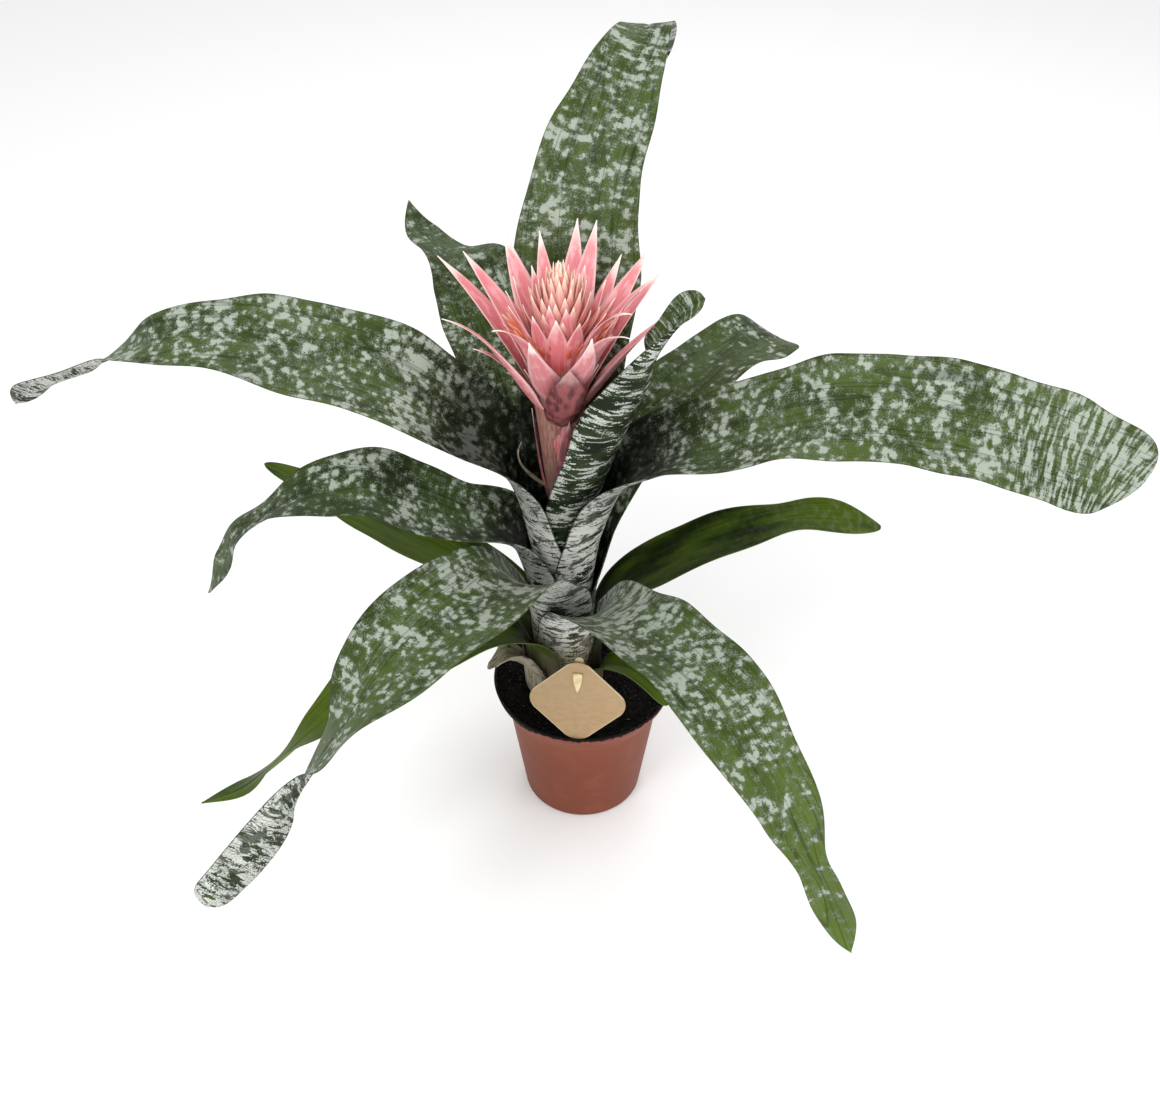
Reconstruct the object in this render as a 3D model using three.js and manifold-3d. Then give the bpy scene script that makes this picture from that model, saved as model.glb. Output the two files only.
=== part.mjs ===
// An urn plant (a silver-banded tank bromeliad) in flower, in its terracotta-coloured nursery pot.
// Millimetres, +Z up. The origin is the centre of the pot's base; +X is to the right of the front.
import * as THREE from 'three';
import { mergeVertices } from 'three/addons/utils/BufferGeometryUtils.js';
import Module from 'manifold-3d';

const wasm = await Module();
wasm.setup();

// ---------------------------------------------------------------- driving dimensions
const potTopRadius = 75;
const potHeight = 126;
const potBaseRadius = 51;
const potBaseRounding = 4.5;
const potNeckRadius = 63.8; // where the straight taper ends and the flare under the lip starts
const potNeckHeight = 102;
const potLipHeight = 6.5;
const potLipTaper = 1.6; // how much narrower the lip is at its lower edge
const potFlareShare = [0.36, 0.55]; // where the flare's middle lies between neck and lip
const potCornerShare = 0.3; // of the foot's rounding, at the middle of the rounding
const potFloorInset = 0.4; // how much narrower the floor is inside than the wall's foot
const potWall = 2;
const potFloor = 3;
const drainHoles = 6;
const drainHoleRadius = 4.5;
const drainCircleRadius = 36;
const drainHoleSides = 12;

const gap = 0.3; // clearance between pieces that touch on the real plant
const mergeDistance = 1e-4;
const closeness = 0.01; // heights nearer than this are taken as the same
const soilTop = 119.5;
const soilHem = 1; // the soil's outermost ring is level
const soilRoughness = 0.9;
const soilLumps = { broadX: 7.3, broadY: 6.1, bend: 9, fineX: 3.7, fineY: 4.9, fineShare: 0.4 };
const soilRingShares = [0.84, 0.68, 0.5, 0.25]; // rings of corners on the soil's open top
const drillMargin = 1; // how far the drain holes' cutters stand out of the floor
const cutAbove = 10; // how far the cutters for stem and stake stand over the soil
const plantX = -15; // the plant stands a little to the left of the pot's centre

const stemDepth = 42; // how far the short stem reaches down into the soil
const stemSocketRadius = 23;
const sheathPitch = 1.7; // radial step from one sheath to the next one inside it
const outerSheathRadius = 33;
const rootPitch = 2.4; // vertical step between the leaf roots on the stem
const firstRootHeight = 123;
const sheathWall = 0.9;
const sheathFullWrap = 118; // degrees each side of the leaf's middle
const sheathLevelStep = 26; // heights at which every sheath has a row of corners
const leastRootRise = 8; // from a leaf's root to its first such row
const tankSlope = 0.055; // how the nest of sheaths widens with height
const tankCurl = 0.0009; // and how it flares, on top of that, above tankCurlHeight
const tankCurlHeight = 215;

const bladeMid = 1.7; // blade thickness along the middle
const bladeEdge = 0.8; // and at its margins
const flattestCup = 2; // degrees, so that an arc always has a radius
const neckLength = 60; // how far along the blade it takes to turn out of the sheath
const bladeRowStep = 38;
const tipShares = [0.35, 0.62, 0.82, 0.94, 1]; // rows along the tip
const roundFineness = 2.3; // how a rounded tip narrows
const roundBlunting = 0.5;
const leastTip = 0.06; // of the leaf's width, at its very end
const wavePitch = 13; // the margins' ruffle: millimetres per radian
const wavePhase = 2; // between the two margins, in radians
const fineSteps = 20; // steps between two stations when a leaf's length is measured
const sheathColumns = 12;
const bladeColumns = 6;
const potSides = 40;
const stemSides = 24;
const stemInset = 1.25; // how far inside the sheaths' middle surface the stem's cone lies

const degrees = Math.PI / 180;
const up = new THREE.Vector3(0, 0, 1);

// ---------------------------------------------------------------- leaves, from outside inwards
// Each blade row: reach from the plant's middle, height, sway to the side, half width,
// cup (half the angle its section bends through) and roll about its own length, in degrees.
// Over its last stretch, tip, a leaf narrows as (1 - share ** fineness) ** blunting.
const leafPlans = [
  {
    name: 'cut_leaf_base', bearing: -150, sheathTop: 160, sheathHalf: 24, tip: 3, wave: 1.5,
    blade: [
      [47, 168, 0, 20, 45, 10],
      [56, 170, 0, 16, 30, 34],
      [64, 167, 0, 12, 20, 38],
    ],
  },
  {
    name: 'small_leaf_front', bearing: -38, sheathTop: 148, sheathHalf: 30, tip: 22, wave: 0.6,
    blade: [
      [46, 165, 0, 15, 50, 0],
      [66, 173, 0, 12, 35, 0],
      [87, 169, 0, 11, 30, 0],
      [104, 156, 0, 8, 25, 0],
    ],
  },
  {
    name: 'green_leaf_front_left', bearing: -143, sheathTop: 174, sheathHalf: 42, tip: 36, wave: 1,
    fineness: 1.4, blunting: 0.9,
    blade: [
      [52, 200, 0, 27, 46, 0],
      [90, 222, 2, 27, 30, 0],
      [140, 225, 3, 26, 25, 0],
      [181, 222, -2, 26, 25, 0],
      [219, 197, -9, 20, 20, 22],
      [252, 180, -12, 16, 15, 43],
      [284, 174, -9, 15, 10, 28],
      [313, 177, -12, 11, 10, 13],
    ],
  },
  {
    name: 'green_leaf_right', bearing: 5, sheathTop: 174, sheathHalf: 42, tip: 40, wave: 1.5,
    blade: [
      [44, 212, 0, 25, 50, 0],
      [78, 240, 0, 27, 35, 5],
      [120, 264, 0, 26, 25, 5],
      [170, 279, 0, 20, 20, 0],
      [205, 280, 0, 18, 20, 8],
      [250, 268, 0, 12, 15, 5],
    ],
  },
  {
    name: 'green_leaf_back_left', bearing: 160, sheathTop: 174, sheathHalf: 34, tip: 40, wave: 1,
    blade: [
      [48, 202, 0, 25, 46, 0],
      [85, 224, 0, 27, 35, 0],
      [130, 238, 0, 27, 25, -5],
      [180, 255, 0, 21, 20, -5],
      [225, 270, 0, 14, 20, 0],
      [262, 280, 0, 8, 15, 0],
    ],
  },
  {
    name: 'leaf_front_right', bearing: -60, sheathTop: 200, sheathHalf: 46, tip: 52, wave: 2,
    fineness: 1.7, blunting: 0.9,
    blade: [
      [50, 234, 0, 38, 50, 0],
      [90, 257, 0, 39, 36, 0],
      [145, 269, 7, 38, 28, 0],
      [190, 267, 11, 37, 22, 0],
      [235, 252, 12, 32, 20, 0],
      [270, 230, 16, 24, 18, 2],
      [294, 204, 19, 13, 25, 41],
      [305, 180, 27, 13, 30, 46],
      [328, 121, 41, 17, 25, 25],
    ],
  },
  {
    name: 'leaf_front_left', bearing: -118, sheathTop: 200, sheathHalf: 50, tip: 14, wave: 2,
    fineness: 3, blunting: 0.5,
    blade: [
      [46, 252, 0, 42, 60, 0],
      [80, 289, -5, 42, 42, -5],
      [129, 301, -11, 44, 28, -4],
      [175, 299, -21, 44, 22, 4],
      [214, 287, -28, 38, 18, 22],
      [243, 270, -36, 29, 15, 43],
      [266, 250, -45, 23, 12, 62],
      [296, 240, -46, 20, 12, 92],
      [326, 217, -59, 19, 12, 112],
      [354, 199, -70, 18, 12, 108],
    ],
  },
  {
    name: 'leaf_left', bearing: -170, sheathTop: 226, sheathHalf: 48, tip: 30, wave: 2,
    fineness: 1.4, blunting: 0.8,
    blade: [
      [42, 281, 0, 38, 60, 0],
      [77, 301, -1, 35, 40, -10],
      [109, 321, -2, 35, 28, -15],
      [141, 341, -1, 35, 22, -15],
      [169, 342, -3, 30, 20, -12],
      [194, 337, -2, 26, 18, 3],
      [219, 326, -2, 17, 15, 8],
      [242, 313, 0, 14, 12, -3],
      [253, 290, 2, 12, 10, -14],
      [270, 259, -1, 9, 10, -16],
    ],
  },
  {
    name: 'leaf_back_right', bearing: 42, sheathTop: 226, sheathHalf: 44, tip: 14, wave: 2,
    fineness: 3, blunting: 0.5,
    blade: [
      [46, 296, -2, 33, 46, 0],
      [78, 331, 0, 36, 40, 0],
      [127, 355, 0, 34, 30, 3],
      [170, 366, -2, 35, 25, -3],
      [210, 368, -3, 30, 20, 10],
      [236, 358, -2, 24, 20, 0],
    ],
  },
  {
    name: 'leaf_back_left', bearing: 118, sheathTop: 252, sheathHalf: 42, tip: 30, wave: 2,
    fineness: 1.5, blunting: 0.8,
    blade: [
      [43, 321, -3, 34, 46, 0],
      [80, 380, 3, 39, 26, -4],
      [109, 412, 3, 41, 18, -5],
      [141, 437, 5, 34, 14, -8],
      [169, 445, 15, 23, 12, 19],
      [195, 452, 23, 14, 10, 15],
      [217, 467, 22, 12, 10, 35],
    ],
  },
  {
    name: 'leaf_right', bearing: -10, sheathTop: 278, sheathHalf: 44, tip: 22, wave: 2.5,
    blade: [
      [46, 334, 0, 42, 60, 0],
      [75, 360, 1, 42, 44, 7],
      [114, 382, 0, 43, 30, 13],
      [150, 399, 1, 42, 24, 17],
      [197, 416, -2, 42, 20, 27],
      [250, 417, 0, 41, 18, 35],
      [294, 411, 0, 41, 18, 38],
      [335, 401, 0, 40, 18, 40],
      [373, 389, -1, 36, 18, 42],
      [398, 381, -4, 29, 18, 42],
    ],
  },
  {
    name: 'leaf_upper_left', bearing: 181, sheathTop: 278, sheathHalf: 44, tip: 24, wave: 2,
    fineness: 1.7, blunting: 0.8,
    blade: [
      [41, 343, 0, 41, 54, -4],
      [76, 377, -2, 45, 40, -14],
      [107, 408, -2, 44, 28, -20],
      [145, 427, -5, 43, 22, -22],
      [192, 443, -4, 41, 18, -20],
      [240, 453, -3, 32, 16, -18],
      [281, 449, -3, 25, 14, -8],
      [309, 438, -4, 20, 12, 12],
      [331, 431, 3, 16, 12, 36],
      [361, 420, 5, 13, 12, 46],
      [384, 403, 0, 15, 20, 60],
    ],
  },
  {
    name: 'leaf_back', bearing: 82, sheathTop: 278, sheathHalf: 40, tip: 40, wave: 2,
    blade: [
      [34, 345, 0, 39, 55, 0],
      [50, 405, 0, 43, 40, 0],
      [69, 463, -1, 47, 30, 4],
      [98, 520, -4, 40, 25, -4],
      [141, 570, -20, 32, 20, 0],
      [181, 600, -34, 20, 18, -4],
      [206, 590, -36, 19, 18, 0],
      [219, 560, -38, 16, 18, 0],
    ],
  },
  {
    name: 'leaf_inner_front', bearing: -40, sheathTop: 252, sheathHalf: 38, tip: 20, wave: 1,
    blade: [
      [22, 300, 0, 34, 70, 0],
      [36, 353, -1, 34, 55, -4],
      [54, 401, -2, 33, 68, -8],
      [69, 437, -1, 28, 70, -5],
      [79, 465, -2, 22, 74, 20],
      [88, 485, 0, 14, 72, 33],
      [98, 505, 5, 12, 55, 50],
      [110, 518, 6, 11, 42, 55],
    ],
  },
];

// ---------------------------------------------------------------- flower stalk and its bracts
const stemTopOrder = leafPlans.length - 0.5; // counted in leaf roots, half a step above the last one
const stemTop = firstRootHeight + stemTopOrder * rootPitch;

// The stalk: height, radius and sideways place of each section.
const stalkRows = [
  [stemTop + gap, 5.4, -15],
  [230, 5, -16.5],
  [300, 6, -19],
  [345, 8.5, -21],
  [372, 12.5, -19.5],
  [395, 17, -17.5],
  [420, 21.5, -16.2],
  [440, 22.5, -16],
];
const headX = -16;
const headTop = stalkRows[stalkRows.length - 1][0];
const stalkSides = 12;
const coneSides = 10;
const collarSides = 18;
const podSides = 5;

// Each bract: bearing, reach and height of its root, reach and height of its point, half width, slopes
// of its first and last stretch (0 lies flat outwards), cup, roll, and how full it stays to its point.
const bractPlans = [
  [162, 12, 398, 87, 499, 13, 60, 40, 40, 0, 1.6],
  [153, 13, 408, 74, 499, 12, 64, 46, 40, -10, 1.6],
  [121, 13, 412, 77, 498, 14, 60, 55, 30, 0, 1.6],
  [104, 15, 420, 60, 502, 11, 66, 64, 35, 0, 1.5],
  [80, 13, 412, 68, 507, 13, 62, 62, 30, 0, 1.6],
  [68, 15, 420, 67, 508, 12, 66, 60, 30, 0, 1.6],
  [50, 12, 404, 66, 488, 12, 60, 50, 35, 0, 1.6],
  [33, 13, 412, 73, 498, 13, 60, 50, 35, 10, 1.6],
  [14, 12, 400, 72, 494, 12, 60, 48, 40, 0, 1.6],
  [4, 15, 420, 69, 497, 7, 62, 25, 40, 0, 1.4],
  [-17, 11, 392, 84, 488, 12, 50, 36, 55, 0, 1.4],
  [-36, 14, 414, 58, 489, 11, 66, 10, 40, 0, 1.5],
  [-58, 12, 402, 84, 493, 11, 56, 15, 50, -15, 1.5],
  [-74, 13, 408, 76, 494, 14, 48, 72, 60, 0, 1.7],
  [-84, 10, 384, 66, 466, 17, 44, 74, 60, 0, 3],
  [-103, 12, 402, 80, 494, 14, 52, 58, 40, 0, 1.5],
  [-123, 13, 408, 76, 494, 10, 60, 20, 40, 0, 1.6],
  [-152, 11, 392, 85, 489, 12, 48, 28, 45, 0, 1.3],
  [-170, 12, 396, 60, 449, 8, 50, 20, 40, 0, 1.4],
  [-75, 4, 318, 24, 398, 8, 60, 70, 60, 0, 1.8],
  [172, 3, 296, 21, 392, 8, 62, 84, 60, 0, 1.8],
  [50, 2, 306, 21, 392, 7, 70, 72, 60, 0, 1.8],
  [-160, 4, 322, 30, 372, 4, 30, 125, 40, 0, 2],
].map(([bearing, rootReach, rootHeight, reach, height, half, start, slope, cup, roll, full]) => ({
  bearing, root: [rootReach, rootHeight], point: [reach, height], half, start, slope, cup, roll, full,
}));
const bractShares = [0, 0.28, 0.54, 0.8, 1]; // of its length, where a bract has a section
const bractColumns = 4;
const bractMid = 1.3;
const bractEdge = 0.8;
const bractPointThickness = 0.75; // of the thickness at the root
const bractHandles = [0.3, 0.36]; // of its length, the curve's handles at root and point
const bractRootWidth = 0.6; // of its full width
const bractWidest = 0.35; // share of its length where a bract is widest
const bractTaperStart = 0.25;
const bractPointWidth = 0.05;

// The cone of short bracts in the middle of the head: how many, reach and height of root and point.
const coneRings = [
  { count: 3, root: [5, 466], point: [6, 508], half: 6.5, first: 20 },
  { count: 5, root: [7.5, 456], point: [12, 501], half: 7, first: 0 },
  { count: 6, root: [8.5, 450], point: [18, 490], half: 7, first: 15 },
  { count: 7, root: [9.5, 445], point: [24, 474], half: 7, first: 35 },
];
const coneBract = { start: 80, slope: 84, cup: 40, roll: 0, full: 1.8 };
const coneShares = [0, 0.55, 1];
const coneLift = 3; // how far the bracts of one ring differ in height
const coneStir = 2.4; // radians from one bract's lift to the next one's
const coneCore = [
  [headTop + gap, 11.5],
  [462, 11],
  [485, 9],
  [500, 5.5],
];

const floretRing = { inner: 12.3, outer: 19.5, bottom: headTop + gap, top: 446, shoulder: 2 };
const floretClusters = 9;
const podsPerCluster = 2;
const podRadius = 3;
const podLength = 20;
const podUnevenness = 3;
const podFan = 16; // degrees between the pods of one cluster
const podLean = 0.42; // outwards for each millimetre upwards
const podSink = [2.4, 0.8]; // its root's height over the collar's foot and reach past its middle
const podShape = [[0, 0], [1, 0.4], [0.7, 0.75], [0, 1]]; // shares of its radius and length

// ---------------------------------------------------------------- tag
const tag = {
  x: -5.2, y: -71.1, turn: -8, lowest: 124.8, lean: 7.5, halfSide: 31, cornerRadius: 14, thickness: 1,
  slotAlong: 65.2, slotHalfWidth: 3.9, slotHalfHeight: 1.7,
};
const stake = {
  halfWidth: 3.3, thickness: 1.6, behind: 14.5, bottom: 92, top: 201, bridgeThickness: 2.2,
  tongueLength: 17, tongueThickness: 1.1, tongueFullness: 0.6,
};

// ---------------------------------------------------------------- mesh helpers
/** A closed solid made from flat lists of corners and triangles. */
function solidFrom(corners, triangles) {
  const vertProperties = new Float32Array(corners.flat());
  const triVerts = new Uint32Array(triangles.flat());
  return new wasm.Manifold(new wasm.Mesh({ numProp: 3, vertProperties, triVerts }));
}

/** A closed solid made from one of three.js' geometries, without the slivers at its poles. */
function solidFromGeometry(geometry) {
  const bare = geometry.clone();
  bare.deleteAttribute('normal');
  bare.deleteAttribute('uv');
  const merged = mergeVertices(bare, mergeDistance);
  const index = merged.index.array;
  const kept = [];
  for (let i = 0; i < index.length; i += 3) {
    const [a, b, c] = index.slice(i, i + 3);
    if (a !== b && b !== c && c !== a) {
      kept.push(a, b, c);
    }
  }
  const vertProperties = new Float32Array(merged.attributes.position.array);
  return new wasm.Manifold(new wasm.Mesh({ numProp: 3, vertProperties, triVerts: new Uint32Array(kept) }));
}

function geometryFrom(solid) {
  const mesh = solid.getMesh();
  const geometry = new THREE.BufferGeometry();
  geometry.setAttribute('position', new THREE.BufferAttribute(mesh.vertProperties, 3));
  geometry.setIndex(new THREE.BufferAttribute(mesh.triVerts, 1));
  geometry.computeVertexNormals();
  return geometry;
}

function joined(solids) {
  return solids.reduce((whole, solid) => whole.add(solid));
}

/** A geometry turned about the vertical axis from [radius, height] points, which end on the axis. */
function turned(profile, sides) {
  const points = profile.map(([radius, height]) => new THREE.Vector2(radius, height));
  return new THREE.LatheGeometry(points, sides).rotateX(Math.PI / 2);
}

/** Moves every corner of a geometry by what a rule says for its place. */
function displaced(geometry, rule) {
  const position = geometry.attributes.position;
  const point = new THREE.Vector3();
  for (let i = 0; i < position.count; i += 1) {
    point.fromBufferAttribute(position, i);
    point.add(rule(point));
    position.setXYZ(i, point.x, point.y, point.z);
  }
  return geometry;
}

/** A plain upright cylinder between two heights. */
function uprightCylinder(radius, bottom, top, sides, x = 0, y = 0) {
  const cylinder = new THREE.CylinderGeometry(radius, radius, top - bottom, sides).rotateX(Math.PI / 2);
  return solidFromGeometry(cylinder.translate(x, y, (top + bottom) / 2));
}

function box(width, depth, height) {
  return new THREE.BoxGeometry(width, depth, height);
}

function smooth(t) {
  const clamped = Math.min(Math.max(t, 0), 1);
  return clamped * clamped * (3 - 2 * clamped);
}

function mix(a, b, t) {
  return a + (b - a) * t;
}

/** Straight-line value from [place, value] rows in rising order. */
function reading(rows, place, field) {
  let k = 1;
  while (k < rows.length - 1 && rows[k][0] < place) {
    k += 1;
  }
  const t = (place - rows[k - 1][0]) / (rows[k][0] - rows[k - 1][0]);
  return mix(rows[k - 1][field], rows[k][field], Math.min(Math.max(t, 0), 1));
}

/** Catmull-Rom value of one number between rows[k] and rows[k + 1]. */
function between(rows, field, k, t) {
  const last = rows.length - 1;
  const before = rows[Math.max(k - 1, 0)][field];
  const here = rows[k][field];
  const next = rows[Math.min(k + 1, last)][field];
  const after = rows[Math.min(k + 2, last)][field];
  const slopeHere = (next - before) / 2;
  const slopeNext = (after - here) / 2;
  const t2 = t * t;
  const t3 = t2 * t;
  return (2 * t3 - 3 * t2 + 1) * here + (t3 - 2 * t2 + t) * slopeHere
    + (3 * t2 - 2 * t3) * next + (t3 - t2) * slopeNext;
}

// ---------------------------------------------------------------- blades
/** Directions across a blade and out of its upper face, where it runs along forward. */
function bladeFrame(forward, side, rollDegrees) {
  const flatAcross = side.clone().addScaledVector(forward, -side.dot(forward)).normalize();
  const flatFace = forward.clone().cross(flatAcross);
  const roll = rollDegrees * degrees;
  const across = flatAcross.clone().multiplyScalar(Math.cos(roll)).addScaledVector(flatFace, Math.sin(roll));
  return { across, face: forward.clone().cross(across) };
}

/**
 * A closed blade through a list of sections, each an arc: middle, across, face, half width, cup in
 * radians, how much of the arc is left (narrow), columns, and rules for thickness and ruffle.
 */
function bladeSolid(sections) {
  const corners = [];
  const ringStarts = [];
  for (const section of sections) {
    const radius = section.half / section.cup;
    const upper = [];
    const lower = [];
    for (let i = 0; i <= section.columns; i += 1) {
      const s = 2 * i / section.columns - 1;
      const angle = s * section.cup * section.narrow;
      const point = section.middle.clone()
        .addScaledVector(section.across, radius * Math.sin(angle))
        .addScaledVector(section.face, radius * (1 - Math.cos(angle)) + section.ruffle(s));
      const normal = section.face.clone().multiplyScalar(Math.cos(angle))
        .addScaledVector(section.across, -Math.sin(angle));
      const halfThickness = section.thickness(s) / 2;
      upper.push(point.clone().addScaledVector(normal, halfThickness).toArray());
      lower.push(point.clone().addScaledVector(normal, -halfThickness).toArray());
    }
    ringStarts.push(corners.length);
    corners.push(...upper, ...lower);
  }
  return solidFrom(corners, bladeTriangles(ringStarts, sections.map(({ columns }) => columns)));
}

/** Triangles between the rows, alike on both faces, with the margins and both ends closed. */
function bladeTriangles(ringStarts, columnCounts) {
  const triangles = [];
  const upper = (j, i) => ringStarts[j] + i;
  const lower = (j, i) => ringStarts[j] + columnCounts[j] + 1 + i;
  const face = (a, b, c) => {
    triangles.push([upper(...c), upper(...b), upper(...a)]);
    triangles.push([lower(...a), lower(...b), lower(...c)]);
  };
  const last = ringStarts.length - 1;
  for (let j = 0; j < last; j += 1) {
    const here = columnCounts[j];
    const next = columnCounts[j + 1];
    const halving = here !== next;
    for (let i = 0; i < next; i += 1) {
      if (halving) {
        face([j, 2 * i], [j, 2 * i + 1], [j + 1, i]);
        face([j, 2 * i + 1], [j + 1, i + 1], [j + 1, i]);
        face([j, 2 * i + 1], [j, 2 * i + 2], [j + 1, i + 1]);
      } else {
        face([j, i], [j, i + 1], [j + 1, i]);
        face([j, i + 1], [j + 1, i + 1], [j + 1, i]);
      }
    }
    triangles.push([lower(j, 0), upper(j + 1, 0), upper(j, 0)]);
    triangles.push([lower(j, 0), lower(j + 1, 0), upper(j + 1, 0)]);
    triangles.push([upper(j, here), lower(j + 1, next), lower(j, here)]);
    triangles.push([upper(j, here), upper(j + 1, next), lower(j + 1, next)]);
  }
  for (let i = 0; i < columnCounts[0]; i += 1) {
    triangles.push([upper(0, i), lower(0, i + 1), lower(0, i)]);
    triangles.push([upper(0, i), upper(0, i + 1), lower(0, i + 1)]);
  }
  for (let i = 0; i < columnCounts[last]; i += 1) {
    triangles.push([lower(last, i), upper(last, i + 1), upper(last, i)]);
    triangles.push([lower(last, i), lower(last, i + 1), upper(last, i + 1)]);
  }
  return triangles;
}

// ---------------------------------------------------------------- one leaf
/** How much wider the whole nest of sheaths is at a height than at the soil. */
function tankFlare(height) {
  const low = Math.max(height - firstRootHeight, 0);
  const high = Math.max(height - tankCurlHeight, 0);
  return tankSlope * low + tankCurl * high * high;
}

/** Rows up the sheath, which are arcs round the plant's own axis. */
function sheathRows(plan, order) {
  const radius = outerSheathRadius - order * sheathPitch;
  const root = firstRootHeight + order * rootPitch;
  const heights = [root];
  for (let level = firstRootHeight; level <= plan.sheathTop + 1; level += sheathLevelStep) {
    if (level > root + leastRootRise) {
      heights.push(level);
    }
  }
  const neckHalf = plan.blade[0][3];
  return heights.map((height) => {
    const reach = radius + tankFlare(height);
    const rise = (height - root) / (plan.sheathTop - root);
    const half = Math.min(mix(plan.sheathHalf, neckHalf, smooth(rise)), reach * sheathFullWrap * degrees);
    return [reach, height, 0, half, half / reach / degrees, 0];
  });
}

/** The leaf's rows: where each section lies, how it is turned and how wide and cupped it is. */
function leafRows(plan, order) {
  const sheath = sheathRows(plan, order);
  const stations = [...sheath, ...plan.blade];
  const fields = [0, 1, 2, 3, 4, 5];
  const fine = [];
  for (let k = sheath.length - 1; k < stations.length - 1; k += 1) {
    for (let step = 0; step < fineSteps; step += 1) {
      fine.push(fields.map((field) => between(stations, field, k, step / fineSteps)));
    }
  }
  fine.push(stations[stations.length - 1]);
  const distance = [0];
  for (let k = 1; k < fine.length; k += 1) {
    const stretch = Math.hypot(...[0, 1, 2].map((field) => fine[k][field] - fine[k - 1][field]));
    distance.push(distance[k - 1] + stretch);
  }
  const length = distance[distance.length - 1];
  const at = (wanted) => {
    let k = 1;
    while (k < fine.length - 1 && distance[k] < wanted) {
      k += 1;
    }
    const t = (wanted - distance[k - 1]) / (distance[k] - distance[k - 1]);
    return fields.map((field) => mix(fine[k - 1][field], fine[k][field], t));
  };
  const { fineness = roundFineness, blunting = roundBlunting } = plan;
  const bladeSteps = Math.max(2, Math.round((length - plan.tip) / bladeRowStep));
  const marks = [];
  for (let step = 1; step <= bladeSteps; step += 1) {
    marks.push((length - plan.tip) * step / bladeSteps);
  }
  for (const share of tipShares) {
    marks.push(length - plan.tip * (1 - share));
  }
  const rows = sheath.map((values) => ({ values, along: 0, narrow: 1, lag: 0 }));
  for (const along of marks) {
    const share = Math.max(0, 1 - (length - along) / plan.tip);
    const narrow = Math.max(Math.max(1 - share ** fineness, 0) ** blunting, leastTip);
    rows.push({ values: at(along), along, narrow, lag: smooth(along / neckLength) });
  }
  return { rows, sheathCount: sheath.length };
}

/** One leaf, sheath and blade together, as one closed solid. */
function leafSolid(plan, order) {
  const { rows, sheathCount } = leafRows(plan, order);
  const bearing = plan.bearing * degrees;
  const out = new THREE.Vector3(Math.cos(bearing), Math.sin(bearing), 0);
  const side = new THREE.Vector3(-Math.sin(bearing), Math.cos(bearing), 0);
  const axis = new THREE.Vector3(plantX, 0, 0);
  const middles = rows.map(({ values }) => axis.clone()
    .addScaledVector(out, values[0]).addScaledVector(up, values[1]).addScaledVector(side, values[2]));
  const sections = rows.map((row, j) => {
    const [, , , half, cupDegrees, rollDegrees] = row.values;
    const isSheath = j < sheathCount;
    const ahead = middles[Math.min(j + 1, rows.length - 1)];
    const behind = middles[Math.max(j - 1, 0)];
    const along = ahead.clone().sub(behind).normalize();
    const forward = up.clone().lerp(along, row.lag).normalize();
    const wave = isSheath ? 0 : plan.wave * row.lag * row.narrow;
    return {
      ...bladeFrame(forward, side, rollDegrees),
      middle: middles[j],
      half,
      cup: Math.max(cupDegrees, flattestCup) * degrees,
      narrow: row.narrow,
      columns: j < sheathCount + 2 ? sheathColumns : bladeColumns,
      thickness: (s) => mix(sheathWall, mix(bladeMid, bladeEdge, s * s), isSheath ? 0 : row.lag),
      ruffle: (s) => {
        const phase = order + (s > 0 ? 0 : wavePhase);
        return wave * Math.abs(s) ** 3 * Math.sin(row.along / wavePitch + phase);
      },
    };
  });
  return bladeSolid(sections);
}

// ---------------------------------------------------------------- one bract
/**
 * A bract: a lance-shaped blade that leaves its root steeply and reaches its point along its slope.
 * steps are the shares of its length where it has a section.
 */
function bractSolid(plan, steps, columns) {
  const bearing = plan.bearing * degrees;
  const out = new THREE.Vector3(Math.cos(bearing), Math.sin(bearing), 0);
  const side = new THREE.Vector3(-Math.sin(bearing), Math.cos(bearing), 0);
  const place = ([reach, height]) => new THREE.Vector3(headX, 0, height).addScaledVector(out, reach);
  const heading = (slope) => out.clone().multiplyScalar(Math.cos(slope * degrees))
    .addScaledVector(up, Math.sin(slope * degrees));
  const root = place(plan.root);
  const point = place(plan.point);
  const length = root.distanceTo(point);
  const curve = new THREE.CubicBezierCurve3(
    root,
    root.clone().addScaledVector(heading(plan.start), length * bractHandles[0]),
    point.clone().addScaledVector(heading(plan.slope), -length * bractHandles[1]),
    point,
  );
  const sections = steps.map((t) => ({
    ...bladeFrame(curve.getTangent(t), side, plan.roll * t),
    middle: curve.getPoint(t),
    half: plan.half,
    cup: plan.cup * degrees,
    narrow: bractWidth(t, plan.full),
    columns,
    thickness: (s) => mix(bractMid, bractEdge, s * s) * mix(1, bractPointThickness, t),
    ruffle: () => 0,
  }));
  return bladeSolid(sections);
}

/** Width of a bract along its length: widest a third of the way up, then drawn to a fine point. */
function bractWidth(t, full) {
  const rising = mix(bractRootWidth, 1, smooth(t / bractWidest));
  const falling = 1 - Math.max((t - bractTaperStart) / (1 - bractTaperStart), 0) ** full;
  return Math.max(rising * falling, bractPointWidth);
}

// ---------------------------------------------------------------- pieces
const lipBottom = potHeight - potLipHeight;
const flareMiddle = [
  mix(potNeckRadius, potTopRadius, potFlareShare[0]),
  mix(potNeckHeight, lipBottom, potFlareShare[1]),
];
const lipCorner = [potTopRadius - potLipTaper, lipBottom];

/** The pot's outer profile above its rounded foot, as [radius, height] corners. */
const potOutside = [[potNeckRadius, potNeckHeight], flareMiddle, lipCorner, [potTopRadius, potHeight]];
const potInside = [
  [potBaseRadius - potWall - potFloorInset, potFloor],
  ...potOutside.map(([radius, height]) => [radius - potWall, height]),
];

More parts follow.
